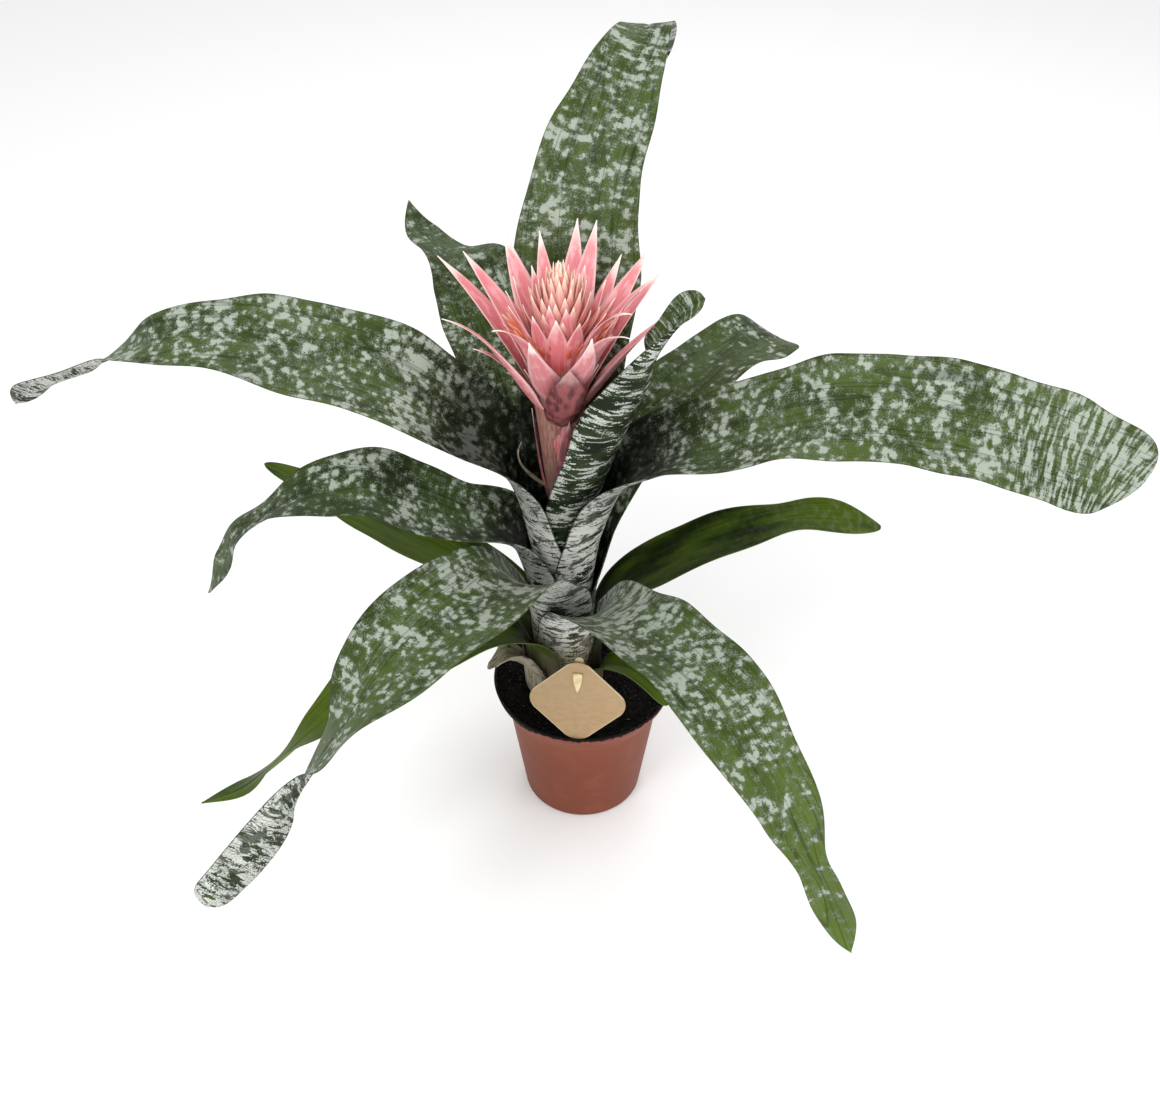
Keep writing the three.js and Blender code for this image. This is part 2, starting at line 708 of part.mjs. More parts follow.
/** The pot: a tapered shell that flares to an upright lip, with drain holes in its floor. */
function potSolid() {
  const foot = [
    [0, 0],
    [potBaseRadius - potBaseRounding, 0],
    [potBaseRadius - potCornerShare * potBaseRounding, potCornerShare * potBaseRounding],
    [potBaseRadius, potBaseRounding],
  ];
  const outside = [...foot, ...potOutside];
  const inside = [...potInside].reverse();
  const shell = solidFromGeometry(turned([...outside, ...inside, [0, potFloor]], potSides));
  const holes = [];
  for (let k = 0; k < drainHoles; k += 1) {
    const angle = 2 * Math.PI * (k + 0.5) / drainHoles;
    const x = drainCircleRadius * Math.cos(angle);
    const y = drainCircleRadius * Math.sin(angle);
    holes.push(uprightCylinder(drainHoleRadius, -drillMargin, potFloor + drillMargin, drainHoleSides, x, y));
  }
  return shell.subtract(joined(holes));
}

/** Height of the soil's lumps over its middle level: broad ones and, across them, finer ones. */
function soilLump(x, y) {
  const { broadX, broadY, bend, fineX, fineY, fineShare } = soilLumps;
  const broad = Math.sin(x / broadX + Math.sin(y / bend)) * Math.cos(y / broadY - 1);
  const fine = Math.sin(x / fineX - y / fineY);
  return soilRoughness * mix(broad, fine, fineShare);
}

/** The soil: a plug that fills the pot up to just under its rim, with holes for stem and stake. */
function soilSolid() {
  const [floor, ...walls] = potInside;
  const edge = lipCorner[0] - potWall - gap;
  const profile = [[0, floor[1] + gap], [floor[0] - gap, floor[1] + gap]];
  for (const [radius, height] of walls) {
    if (height < soilTop) {
      profile.push([radius - gap, height]);
    }
  }
  profile.push([edge, soilTop]);
  for (const share of soilRingShares) {
    profile.push([edge * share, soilTop]);
  }
  profile.push([0, soilTop]);
  const plug = displaced(turned(profile, potSides), (point) => {
    const isOpenTop = point.z > soilTop - closeness && Math.hypot(point.x, point.y) < edge - soilHem;
    return new THREE.Vector3(0, 0, isOpenTop ? soilLump(point.x, point.y) : 0);
  });
  const above = soilTop + cutAbove;
  const socketBottom = soilTop - stemDepth - gap;
  const socket = uprightCylinder(stemSocketRadius + gap, socketBottom, above, stemSides, plantX);
  const slotHeight = above - stake.bottom + gap;
  const slot = box(2 * (stake.halfWidth + gap), stake.thickness + 2 * gap, slotHeight)
    .translate(0, stake.behind, above - slotHeight / 2);
  return solidFromGeometry(plug).subtract(socket).subtract(solidFromGeometry(atTag(slot)));
}

/** The short stem under the rosette: a stump in the soil and a stepped cone inside the leaf roots. */
function stemSolid() {
  const profile = [
    [0, soilTop - stemDepth],
    [stemSocketRadius, soilTop - stemDepth],
    [stemSocketRadius, soilTop + soilRoughness + gap],
    [outerSheathRadius - stemInset, firstRootHeight],
    [outerSheathRadius - stemInset - stemTopOrder * sheathPitch, stemTop],
    [0, stemTop],
  ];
  return solidFromGeometry(turned(profile, stemSides).translate(plantX, 0, 0));
}

/** The flower stalk, the head that it widens into and the pink bracts that grow from both. */
function flowerStalkSolid() {
  const profile = stalkRows.map(([height, radius]) => [radius, height]);
  const bottom = stalkRows[0][0];
  const straight = turned([[0, bottom], ...profile, [0, headTop]], stalkSides);
  const stalk = displaced(straight, (point) => new THREE.Vector3(reading(stalkRows, point.z, 2), 0, 0));
  const bracts = bractPlans.map((plan) => bractSolid(plan, bractShares, bractColumns));
  return joined([solidFromGeometry(stalk), ...bracts]);
}

/** The middle of the head: a core covered by rings of short upright bracts. */
function flowerConeSolid() {
  const profile = coneCore.map(([height, radius]) => [radius, height]);
  const bottom = coneCore[0][0];
  const top = coneCore[coneCore.length - 1][0];
  const core = turned([[0, bottom], ...profile, [0, top]], coneSides).translate(headX, 0, 0);
  const solids = [solidFromGeometry(core)];
  for (const ring of coneRings) {
    for (let k = 0; k < ring.count; k += 1) {
      const bearing = ring.first + 360 * k / ring.count;
      const lift = coneLift * Math.sin(coneStir * k + ring.first);
      const point = [ring.point[0], ring.point[1] + lift];
      const plan = { ...coneBract, half: ring.half, bearing, root: ring.root, point };
      solids.push(bractSolid(plan, coneShares, 2));
    }
  }
  return joined(solids);
}

/** The orange spikelets between the cone and the bracts: a collar set with clusters of pods. */
function flowerSpikeletsSolid() {
  const { inner, outer, bottom, top, shoulder } = floretRing;
  const section = [[inner, bottom], [outer, bottom], [outer, top - shoulder], [inner, top], [inner, bottom]];
  const solids = [solidFromGeometry(turned(section, collarSides).translate(headX, 0, 0))];
  const rootRadius = (inner + outer) / 2 + podSink[1];
  for (let k = 0; k < floretClusters; k += 1) {
    for (let n = 0; n < podsPerCluster; n += 1) {
      const fan = n - (podsPerCluster - 1) / 2;
      const bearing = (360 * k / floretClusters + podFan * fan) * degrees;
      const out = new THREE.Vector3(Math.cos(bearing), Math.sin(bearing), 0);
      const root = new THREE.Vector3(headX, 0, bottom + podSink[0]).addScaledVector(out, rootRadius);
      const length = podLength + podUnevenness * Math.sin(3 * k + 2 * n);
      const heading = up.clone().addScaledVector(out, podLean).normalize();
      const outline = podShape.map(([radius, height]) => [radius * podRadius, height * length]);
      const pod = turned(outline, podSides);
      pod.applyQuaternion(new THREE.Quaternion().setFromUnitVectors(up, heading));
      solids.push(solidFromGeometry(pod.translate(root.x, root.y, root.z)));
    }
  }
  return joined(solids);
}

/** Moves a geometry drawn round the foot of the tag, facing the front, to its turned place. */
function atTag(geometry) {
  return geometry.rotateZ(tag.turn * degrees).translate(tag.x, tag.y, 0);
}

/** Places a geometry drawn on the card's own plane, x across it and z up it from its lowest corner. */
function onCard(geometry) {
  return atTag(geometry.rotateX(-tag.lean * degrees).translate(0, 0, tag.lowest));
}

/** The card: a square with round corners that stands on one of them, with a slot near the top. */
function tagCardSolid() {
  const { halfSide, cornerRadius, thickness } = tag;
  const flat = halfSide - cornerRadius;
  const outline = new THREE.Shape();
  const corners = [[flat, flat], [-flat, flat], [-flat, -flat], [flat, -flat]];
  corners.forEach(([x, y], k) => {
    outline.absarc(x, y, cornerRadius, k * Math.PI / 2, (k + 1) * Math.PI / 2, false);
  });
  const cornerReach = flat * Math.SQRT2 + cornerRadius;
  const settings = { depth: thickness, bevelEnabled: false, curveSegments: 6 };
  const card = new THREE.ExtrudeGeometry(outline, settings)
    .rotateZ(Math.PI / 4)
    .rotateX(Math.PI / 2)
    .translate(0, thickness / 2, cornerReach);
  const slot = box(2 * tag.slotHalfWidth, 4 * thickness, 2 * tag.slotHalfHeight)
    .translate(0, 0, tag.slotAlong);
  return solidFromGeometry(onCard(card)).subtract(solidFromGeometry(onCard(slot)));
}

/** The stake: a strip behind the card, with a tongue that goes through the slot and hangs in front. */
function tagStakeSolid() {
  const { halfWidth, thickness, behind, top, bottom, tongueLength, tongueThickness, tongueFullness } = stake;
  const strip = new THREE.Shape();
  strip.moveTo(-halfWidth, bottom + 2 * halfWidth);
  strip.lineTo(0, bottom);
  strip.lineTo(halfWidth, bottom + 2 * halfWidth);
  strip.absarc(0, top - halfWidth, halfWidth, 0, Math.PI, false);
  const stripSettings = { depth: thickness, bevelEnabled: false, curveSegments: 8 };
  const stripGeometry = new THREE.ExtrudeGeometry(strip, stripSettings)
    .rotateX(Math.PI / 2)
    .translate(0, behind + thickness / 2, 0);
  const inFront = -tag.thickness / 2 - gap - tongueThickness / 2;
  const bridgeStart = tag.slotAlong * Math.sin(tag.lean * degrees) + inFront;
  const bridgeHeight = tag.lowest + tag.slotAlong * Math.cos(tag.lean * degrees);
  const bridgeLength = behind - bridgeStart;
  const tongueHalf = tag.slotHalfWidth - gap;
  const bridge = box(2 * tongueHalf, bridgeLength, stake.bridgeThickness)
    .translate(0, bridgeStart + bridgeLength / 2, bridgeHeight);
  const shoulder = stake.bridgeThickness / 2;
  const tongue = new THREE.Shape();
  tongue.moveTo(-tongueHalf, shoulder);
  tongue.quadraticCurveTo(-tongueHalf, -tongueFullness * tongueLength, 0, -tongueLength);
  tongue.quadraticCurveTo(tongueHalf, -tongueFullness * tongueLength, tongueHalf, shoulder);
  const tongueSettings = { depth: tongueThickness, bevelEnabled: false, curveSegments: 5 };
  const tongueGeometry = new THREE.ExtrudeGeometry(tongue, tongueSettings)
    .rotateX(Math.PI / 2)
    .translate(0, inFront + tongueThickness / 2, tag.slotAlong);
  return joined([atTag(stripGeometry), atTag(bridge), onCard(tongueGeometry)].map(solidFromGeometry));
}

// ---------------------------------------------------------------- the plant in its pot
const plant = new THREE.Group();

function addPiece(name, solid, color, roughness) {
  const material = new THREE.MeshStandardMaterial({ color, roughness, metalness: 0 });
  const mesh = new THREE.Mesh(geometryFrom(solid), material);
  mesh.name = name;
  plant.add(mesh);
}

addPiece('pot', potSolid(), 0xa1624e, 0.75);
addPiece('soil', soilSolid(), 0x1c1614, 1);
addPiece('stem', stemSolid(), 0x6f7148, 0.8);
leafPlans.forEach((plan, order) => {
  addPiece(plan.name, leafSolid(plan, order), 0x5a7350, 0.55);
});
addPiece('flower_stalk', flowerStalkSolid(), 0xe38b8f, 0.6);
addPiece('flower_spikelets', flowerSpikeletsSolid(), 0xf08a62, 0.6);
addPiece('flower_cone', flowerConeSolid(), 0xf2b9a4, 0.6);
addPiece('tag_card', tagCardSolid(), 0xb3976b, 0.6);
addPiece('tag_stake', tagStakeSolid(), 0xdec78c, 0.5);

export default plant;
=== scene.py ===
"""Finishes an urn plant in flower: silver-banded leaves, pink bracts, terracotta-coloured pot, peat and tag.

Sizes are in millimetres and become metres when a mesh is made. +Z is up and the pot's base is at z = 0.
"""

import math
import random
from bisect import bisect_left
from math import ceil, cos, hypot, pi, radians, sin, tau
from types import SimpleNamespace

import bmesh
import bpy
from mathutils import Matrix, Vector, noise
from mathutils.geometry import interpolate_bezier


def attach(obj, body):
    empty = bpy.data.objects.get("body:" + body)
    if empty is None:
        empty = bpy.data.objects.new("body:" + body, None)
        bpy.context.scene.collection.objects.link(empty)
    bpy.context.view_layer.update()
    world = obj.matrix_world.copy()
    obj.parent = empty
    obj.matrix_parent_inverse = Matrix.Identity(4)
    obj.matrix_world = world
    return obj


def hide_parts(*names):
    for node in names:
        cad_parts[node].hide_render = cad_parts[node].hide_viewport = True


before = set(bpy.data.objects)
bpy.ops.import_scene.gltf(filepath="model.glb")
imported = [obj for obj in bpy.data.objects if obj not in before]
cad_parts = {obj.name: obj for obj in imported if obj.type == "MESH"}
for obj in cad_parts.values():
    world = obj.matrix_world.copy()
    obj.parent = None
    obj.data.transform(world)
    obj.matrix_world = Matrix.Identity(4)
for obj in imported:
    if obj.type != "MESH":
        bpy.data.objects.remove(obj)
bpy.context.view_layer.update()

MM = 0.001
UP = Vector((0, 0, 1))
GAP = 0.3
BLACK = (0, 0, 0)

# ---- pot and soil; points of the pot's outside are (radius, height)
POT_TOP_RADIUS = 75
POT_HEIGHT = 126
POT_BASE_RADIUS = 51
POT_BASE_ROUNDING = 4.5
POT_BASE_STEPS = 6
POT_NECK = (63.8, 102)
POT_FLARE = (67.83, 111.62)
POT_LIP_CORNER = (73.4, 119.5)
POT_SHOULDER = (POT_NECK, POT_FLARE, POT_LIP_CORNER)
POT_WALL = 2
POT_FLOOR = 3
POT_FLOOR_RADIUS = POT_BASE_RADIUS - POT_WALL - 0.4
POT_RIM_ROUNDING = 0.7
POT_SEGMENTS = 128
POT_ROW_STEP = 2
DRAIN_HOLES = 6
DRAIN_HOLE_RADIUS = 4.5
DRAIN_CIRCLE_RADIUS = 36
DRAIN_CUTTER_LENGTH = 20
PEAT_SMEAR = 6.5
PEAT_SMEAR_FADE = 6
PEATY_SIDE = (95, 125, 215, 245)  # bearings between which the peat spreads, lies thick and ends
SOIL_TOP = 119.5
SOIL_EDGE = POT_LIP_CORNER[0] - POT_WALL - GAP
SOIL_RINGS = 34
SOIL_SEGMENTS = 160
SOIL_LUMPS = ((1.625, 9), (1.125, 3.4), (0.625, 1.4))  # height and size
SOIL_BANK_WIDTH = 9
SOIL_BANK = 4.6
SOIL_BANK_AT_TAG = 1.2
TAG_CLEARING = (10, 24)
CRUMBS = 1500
CRUMB_REACH = SOIL_EDGE + 0.9
CRUMB_SIZE = (0.5, 1.5)
CRUMB_EXTRA = 1.1
CRUMB_FLATNESS = ((0.7, 1.6), (0.6, 1.1), (0.5, 1))
ANYWHERE = 0.12
AT_RIM = 0.9

# ---- leaves, from outside inwards
PLANT_X = -15
SHEATH_PITCH = 1.7
OUTER_SHEATH_RADIUS = 33
ROOT_PITCH = 2.4
FIRST_ROOT_HEIGHT = 123
SHEATH_FULL_WRAP = 118
SHEATH_LEVEL_STEP = 26
LEAST_LEVEL_STEP = 8
TANK_FLARE = 0.055
TANK_CURL = 0.0009
TANK_CURL_HEIGHT = 215
SHEATH_WALL = 0.9
BLADE_MID = 1.7
BLADE_EDGE = 0.5
FLATTEST_CUP = 2
NECK_LENGTH = 60
FINE_STEPS = 20
SHEATH_ROW_STEP = 5
BLADE_ROW_STEP = 3.6
TIP_ROWS = 14
LEAST_TIP = 0.03
LEAF_COLUMNS = 24
WAVE_LENGTH = 13
UNEVEN_EDGE = 0.07
UNEVEN_LENGTH = 38
SWELL = 1.1
SWELL_WIDTH = 26
SWELL_LENGTH = 34
KEEL = 0.9
KEEL_WIDTH = 1.8
TEAR_LENGTH = 9
SKEW_FROM = 0.9
DRY_HEIGHTS = (150, 210)
DRY_SHEATH_END = (-10, 20)
# Shares of a blade's length over which its near value gives way to the middle one, and that to the far one.
NEAR_BANDS_END = (0.1, 0.3)
FAR_BANDS_START = (0.7, 0.88)
# The painted shade that darkens the leaves deep in the tank: where it gives way along a blade, its extra on
# the sheaths and its darkest.
NEAR_PAINTED_SHADE_RUN = 0.16
FAR_PAINTED_SHADE_START = (0.4, 0.9)
SHEATH_PAINTED_SHADE = 0.15
DEEPEST_PAINTED_SHADE = 0.97

# A blade row is reach from the plant's middle, height, sway, half width, cup and roll in degrees.
# Each of these is given near the tank, half way out and at the tip: silver is how much dust a leaf carries,
# the painted shade how far its colour is darkened to stand for shade, fresh how much new green it shows and
# band how far its dust lies in thin cross-bands. deep is the share of the blade that stays in the tank's
# painted shade, and pallor how white the under face is.
# fineness and blunting shape the tip, slant sets it askew, wave ruffles the edges and tear frays the end.
LEAF_DEFAULTS = dict(
    finish="silver", fineness=2.3, blunting=0.5, slant=0, wave=2, tear=0, deep=0.05, pallor=1,
    silver=(0, 0, 0), gloom=(0, 0, 0), fresh=(0, 0, 0), band=(0, 0, 0),
)
LEAVES = [
    dict(
        name="cut_leaf_base", finish="withered", bearing=-150, sheath_top=160, sheath_half=24, tip=3,
        wave=1.5, tear=9,
        blade=[(47, 168, 0, 20, 45, 10), (56, 170, 0, 16, 30, 34), (64, 167, 0, 12, 20, 38)],
    ),
    dict(
        name="small_leaf_front", finish="green", bearing=-38, sheath_top=148, sheath_half=30, tip=22,
        wave=0.6, gloom=(0.25, 0.05, 0), fresh=(0.4, 0.7, 0.5),
        blade=[
            (46, 165, 0, 15, 50, 0), (66, 173, 0, 12, 35, 0), (87, 169, 0, 11, 30, 0),
            (104, 156, 0, 8, 25, 0),
        ],
    ),
    dict(
        name="green_leaf_front_left", finish="green", bearing=-143, sheath_top=174, sheath_half=42, tip=36,
        wave=1, fineness=1.4, blunting=0.9,
        silver=(0, 0, 0.1), gloom=(0.2, 0, 0), fresh=(0.4, 0.9, 0.8),
        blade=[
            (52, 200, 0, 27, 46, 0), (90, 222, 2, 27, 30, 0), (140, 225, 3, 26, 25, 0),
            (181, 222, -2, 26, 25, 0), (219, 197, -9, 20, 20, 22), (252, 180, -12, 16, 15, 43),
            (284, 174, -9, 15, 10, 28), (313, 177, -12, 11, 10, 13),
        ],
    ),
    dict(
        name="green_leaf_right", finish="green", bearing=5, sheath_top=174, sheath_half=42, tip=40,
        wave=1.5, silver=(0, 0.05, 0.35), gloom=(0.7, 0.35, 0), fresh=(0, 0.4, 0.9),
        blade=[
            (44, 212, 0, 25, 50, 0), (78, 240, 0, 27, 35, 5), (120, 264, 0, 26, 25, 5),
            (170, 279, 0, 20, 20, 0), (205, 280, 0, 18, 20, 8), (250, 268, 0, 12, 15, 5),
        ],
    ),
    dict(
        name="green_leaf_back_left", finish="green", bearing=160, sheath_top=174, sheath_half=34, tip=40,
        wave=1, gloom=(0.1, 0, 0), fresh=(0.4, 0.9, 0.9),
        blade=[
            (48, 202, 0, 25, 46, 0), (85, 224, 0, 27, 35, 0), (130, 238, 0, 27, 25, -5),
            (180, 255, 0, 21, 20, -5), (225, 270, 0, 14, 20, 0), (262, 280, 0, 8, 15, 0),
        ],
    ),
    dict(
        name="leaf_front_right", bearing=-60, sheath_top=200, sheath_half=46, tip=52,
        fineness=1.7, blunting=0.9,
        silver=(0.95, 0.65, 0.15), gloom=(0.1, 0, 0), fresh=(0, 0.4, 1), band=(0.85, 0, 0),
        blade=[
            (50, 234, 0, 38, 50, 0), (90, 257, 0, 39, 36, 0), (145, 269, 7, 38, 28, 0),
            (190, 267, 11, 37, 22, 0), (235, 252, 12, 32, 20, 0), (270, 230, 16, 24, 18, 2),
            (294, 204, 19, 13, 25, 41), (305, 180, 27, 13, 30, 46), (328, 121, 41, 17, 25, 25),
        ],
    ),
    dict(
        name="leaf_front_left", bearing=-118, sheath_top=200, sheath_half=50, tip=14,
        fineness=3,
        silver=(1.05, 0.6, 0.65), fresh=(0.05, 0.3, 0.4), band=(1, 0, 0.8),
        blade=[
            (46, 252, 0, 42, 60, 0), (80, 289, -5, 42, 42, -5), (129, 301, -11, 44, 28, -4),
            (175, 299, -21, 44, 22, 4), (214, 287, -28, 38, 18, 22), (243, 270, -36, 29, 15, 43),
            (266, 250, -45, 23, 12, 62), (296, 240, -46, 20, 12, 92), (326, 217, -59, 19, 12, 112),
            (354, 199, -70, 18, 12, 108),
        ],
    ),
    dict(
        name="leaf_left", bearing=-170, sheath_top=226, sheath_half=48, tip=30,
        fineness=1.4, blunting=0.8, deep=0.16,
        silver=(0.6, 0.55, 0.5), gloom=(0.85, 0.3, 0.2), fresh=(0, 0.1, 0.1), band=(0.2, 0, 0.2),
        blade=[
            (42, 281, 0, 38, 60, 0), (77, 301, -1, 35, 40, -10), (109, 321, -2, 35, 28, -15),
            (141, 341, -1, 35, 22, -15), (169, 342, -3, 30, 20, -12), (194, 337, -2, 26, 18, 3),
            (219, 326, -2, 17, 15, 8), (242, 313, 0, 14, 12, -3), (253, 290, 2, 12, 10, -14),
            (270, 259, -1, 9, 10, -16),
        ],
    ),
    dict(
        name="leaf_back_right", bearing=42, sheath_top=226, sheath_half=44, tip=14,
        fineness=3, deep=0.12,
        silver=(0.55, 0.45, 0.35), gloom=(0.88, 0.25, 0.15), fresh=(0, 0.3, 0.3), band=(0.1, 0, 0),
        blade=[
            (46, 296, -2, 33, 46, 0), (78, 331, 0, 36, 40, 0), (127, 355, 0, 34, 30, 3),
            (170, 366, -2, 35, 25, -3), (210, 368, -3, 30, 20, 10), (236, 358, -2, 24, 20, 0),
        ],
    ),
    dict(
        name="leaf_back_left", bearing=118, sheath_top=252, sheath_half=42, tip=30,
        fineness=1.5, blunting=0.8, deep=0.24,
        silver=(0.5, 0.55, 0.5), gloom=(0.9, 0.3, 0.1), fresh=(0, 0.15, 0.1), band=(0.2, 0.2, 0.3),
        blade=[
            (43, 321, -3, 34, 46, 0), (80, 380, 3, 39, 26, -4), (109, 412, 3, 41, 18, -5),
            (141, 437, 5, 34, 14, -8), (169, 445, 15, 23, 12, 19), (195, 452, 23, 14, 10, 15),
            (217, 467, 22, 12, 10, 35),
        ],
    ),
    dict(
        name="leaf_right", bearing=-10, sheath_top=278, sheath_half=44, tip=22,
        wave=2.5, slant=12, deep=0.19,
        silver=(0.6, 0.6, 0.8), gloom=(0.9, 0, 0), fresh=(0, 0.25, 0.3), band=(0.2, 0.05, 0.9),
        blade=[
            (46, 334, 0, 42, 60, 0), (75, 360, 1, 42, 44, 7), (114, 382, 0, 43, 30, 13),
            (150, 399, 1, 42, 24, 17), (197, 416, -2, 42, 20, 27), (250, 417, 0, 41, 18, 35),
            (294, 411, 0, 41, 18, 38), (335, 401, 0, 40, 18, 40), (373, 389, -1, 36, 18, 42),
            (398, 381, -4, 29, 18, 42),
        ],
    ),
    dict(
        name="leaf_upper_left", bearing=181, sheath_top=278, sheath_half=44, tip=24,
        fineness=1.7, blunting=0.8, deep=0.24,
        silver=(0.7, 0.65, 0.7), gloom=(0.9, 0, 0), fresh=(0, 0.2, 0.15), band=(0, 0.05, 0.7),
        blade=[
            (41, 343, 0, 41, 54, -4), (76, 377, -2, 45, 40, -14), (107, 408, -2, 44, 28, -20),
            (145, 427, -5, 43, 22, -22), (192, 443, -4, 41, 18, -20), (240, 453, -3, 32, 16, -18),
            (281, 449, -3, 25, 14, -8), (309, 438, -4, 20, 12, 12), (331, 431, 3, 16, 12, 36),
            (361, 420, 5, 13, 12, 46), (384, 403, 0, 15, 20, 60),
        ],
    ),
    dict(
        name="leaf_back", bearing=82, sheath_top=278, sheath_half=40, tip=40, deep=0.22,
        silver=(0.5, 0.62, 0.75), gloom=(0.94, 0.05, 0), fresh=(0, 0.25, 0.3), band=(0.1, 0.2, 0.6),
        blade=[
            (34, 345, 0, 39, 55, 0), (50, 405, 0, 43, 40, 0), (69, 463, -1, 47, 30, 4),
            (98, 520, -4, 40, 25, -4), (141, 570, -20, 32, 20, 0), (181, 600, -34, 20, 18, -4),
            (206, 590, -36, 19, 18, 0), (219, 560, -38, 16, 18, 0),
        ],
    ),
    dict(
        name="leaf_inner_front", bearing=-40, sheath_top=252, sheath_half=38, tip=20,
        wave=1, pallor=0.15,
        silver=(0.5, 0.5, 0.6), gloom=(0.8, 0.3, 0), fresh=(0, 0, 0.25), band=(1, 1, 1),
        blade=[
            (22, 300, 0, 34, 70, 0), (36, 353, -1, 34, 55, -4), (54, 401, -2, 33, 68, -8),
            (69, 437, -1, 28, 70, -5), (79, 465, -2, 22, 74, 20), (88, 485, 0, 14, 72, 33),
            (98, 505, 5, 12, 55, 50), (110, 518, 6, 11, 42, 55),
        ],
    ),
]
STEM_TOP = FIRST_ROOT_HEIGHT + (len(LEAVES) - 0.5) * ROOT_PITCH

# ---- flower
HEAD_X = -16
STALK_ROWS = [  # height, radius, x
    (STEM_TOP + GAP, 5.4, -15),
    (230, 5, -16.5),
    (300, 6, -19),
    (345, 8.5, -21),
    (372, 12.5, -19.5),
    (395, 17, -17.5),
    (420, 21.5, -16.2),
    (440, 22.5, -16),
]
STALK_RIDGES = 7
STALK_RIDGE = 0.25

# A bract is bearing, root and point as (reach, height), half width, slope at its root and at its point,
# cup, roll at its point, fullness and greyness.
BRACTS = [
    (162, (12, 398), (87, 499), 13, 60, 40, 40, 0, 1.6, 0),
    (153, (13, 408), (74, 499), 12, 64, 46, 40, -10, 1.6, 0),
    (121, (13, 412), (77, 498), 14, 60, 55, 30, 0, 1.6, 0),
    (104, (15, 420), (60, 502), 11, 66, 64, 35, 0, 1.5, 0),
    (80, (13, 412), (68, 507), 13, 62, 62, 30, 0, 1.6, 0),
    (68, (15, 420), (67, 508), 12, 66, 60, 30, 0, 1.6, 0),
    (50, (12, 404), (66, 488), 12, 60, 50, 35, 0, 1.6, 0),
    (33, (13, 412), (73, 498), 13, 60, 50, 35, 10, 1.6, 0),
    (14, (12, 400), (72, 494), 12, 60, 48, 40, 0, 1.6, 0),
    (4, (15, 420), (69, 497), 7, 62, 25, 40, 0, 1.4, 0),
    (-17, (11, 392), (84, 488), 12, 50, 36, 55, 0, 1.4, 0),
    (-36, (14, 414), (58, 489), 11, 66, 10, 40, 0, 1.5, 0),
    (-58, (12, 402), (84, 493), 11, 56, 15, 50, -15, 1.5, 0),
    (-74, (13, 408), (76, 494), 14, 48, 72, 60, 0, 1.7, 0.2),
    (-84, (10, 384), (66, 466), 17, 44, 74, 60, 0, 3, 1.0),
    (-103, (12, 402), (80, 494), 14, 52, 58, 40, 0, 1.5, 0.1),
    (-123, (13, 408), (76, 494), 10, 60, 20, 40, 0, 1.6, 0),
    (-152, (11, 392), (85, 489), 12, 48, 28, 45, 0, 1.3, 0.1),
    (-170, (12, 396), (60, 449), 8, 50, 20, 40, 0, 1.4, 0.5),
    (-75, (4, 318), (24, 398), 8, 60, 70, 60, 0, 1.8, 0.9),
    (172, (3, 296), (21, 392), 8, 62, 84, 60, 0, 1.8, 0.9),
    (50, (2, 306), (21, 392), 7, 70, 72, 60, 0, 1.8, 0.9),
]
# Bracts wrapped round the widening stalk, and the short upright ones between the cone and the large bracts.
WRAPPED_BRACTS = [
    (-148, (8.5, 346), (29, 436), 12, 78, 64, 80, 0, 2.2, 0.45),
    (-112, (9.5, 356), (28, 440), 13, 76, 66, 80, 0, 2.2, 0.3),
    (-64, (9.5, 352), (28, 438), 13, 76, 66, 80, 0, 2.2, 0.35),
    (-26, (9, 348), (29, 438), 12, 76, 64, 80, 0, 2.2, 0.3),
    (14, (9.5, 356), (29, 440), 12, 76, 64, 80, 0, 2.2, 0.3),
    (60, (9.5, 350), (29, 438), 12, 76, 64, 80, 0, 2.2, 0.4),
    (110, (9.5, 354), (29, 440), 12, 76, 64, 80, 0, 2.2, 0.3),
    (166, (8.5, 348), (29, 438), 12, 76, 64, 80, 0, 2.2, 0.4),
]
INNER_BRACTS = [
    (-94, (19, 430), (30, 482), 11, 66, 78, 45, 0, 1.7, 0),
    (-122, (18, 434), (33, 484), 9.5, 66, 70, 50, 0, 1.6, 0),
    (-66, (18, 434), (33, 480), 9.5, 66, 68, 50, 0, 1.6, 0),
    (-108, (15, 440), (22, 488), 8, 74, 80, 50, 0, 1.6, 0),
    (-78, (15, 440), (22, 486), 8, 74, 80, 50, 0, 1.6, 0),
    (-34, (17, 440), (37, 482), 7, 62, 60, 50, 0, 1.5, 0),
    (-152, (17, 440), (38, 486), 6.5, 62, 62, 50, 0, 1.4, 0),
    (-178, (17, 440), (36, 488), 7, 64, 64, 50, 0, 1.5, 0),
    (-6, (17, 440), (37, 484), 7, 64, 60, 50, 0, 1.5, 0),
    (24, (17, 440), (34, 488), 7.5, 66, 66, 50, 0, 1.5, 0),
    (58, (17, 440), (32, 492), 8, 70, 70, 50, 0, 1.5, 0),
    (92, (17, 440), (30, 494), 8.5, 72, 74, 50, 0, 1.5, 0),
    (126, (17, 440), (33, 492), 8, 70, 68, 50, 0, 1.5, 0),
    (152, (17, 440), (36, 489), 7.5, 66, 66, 50, 0, 1.5, 0),
]
DEAD_CURL = (-160, (4, 322), (30, 372), 4, 30, 125, 40, 0, 2, 0)
BRACT_ROWS = 26
BRACT_COLUMNS = 8
INNER_BRACT_ROWS = 16
BRACT_THICKNESS = 1.0
BRACT_ROOT_WIDTH = 0.6
BRACT_FULL_WIDTH = 0.35
BRACT_NARROWS_FROM = 0.25
BRACT_LEAST_WIDTH = 0.025
BRACT_ROOT_PULL = 0.3
BRACT_POINT_PULL = 0.36
BRACT_KEEL = 0.5
BRACT_KEEL_WIDTH = 0.12
BRACT_RIPPLE = 0.35
BRACT_RIPPLE_RATE = 9

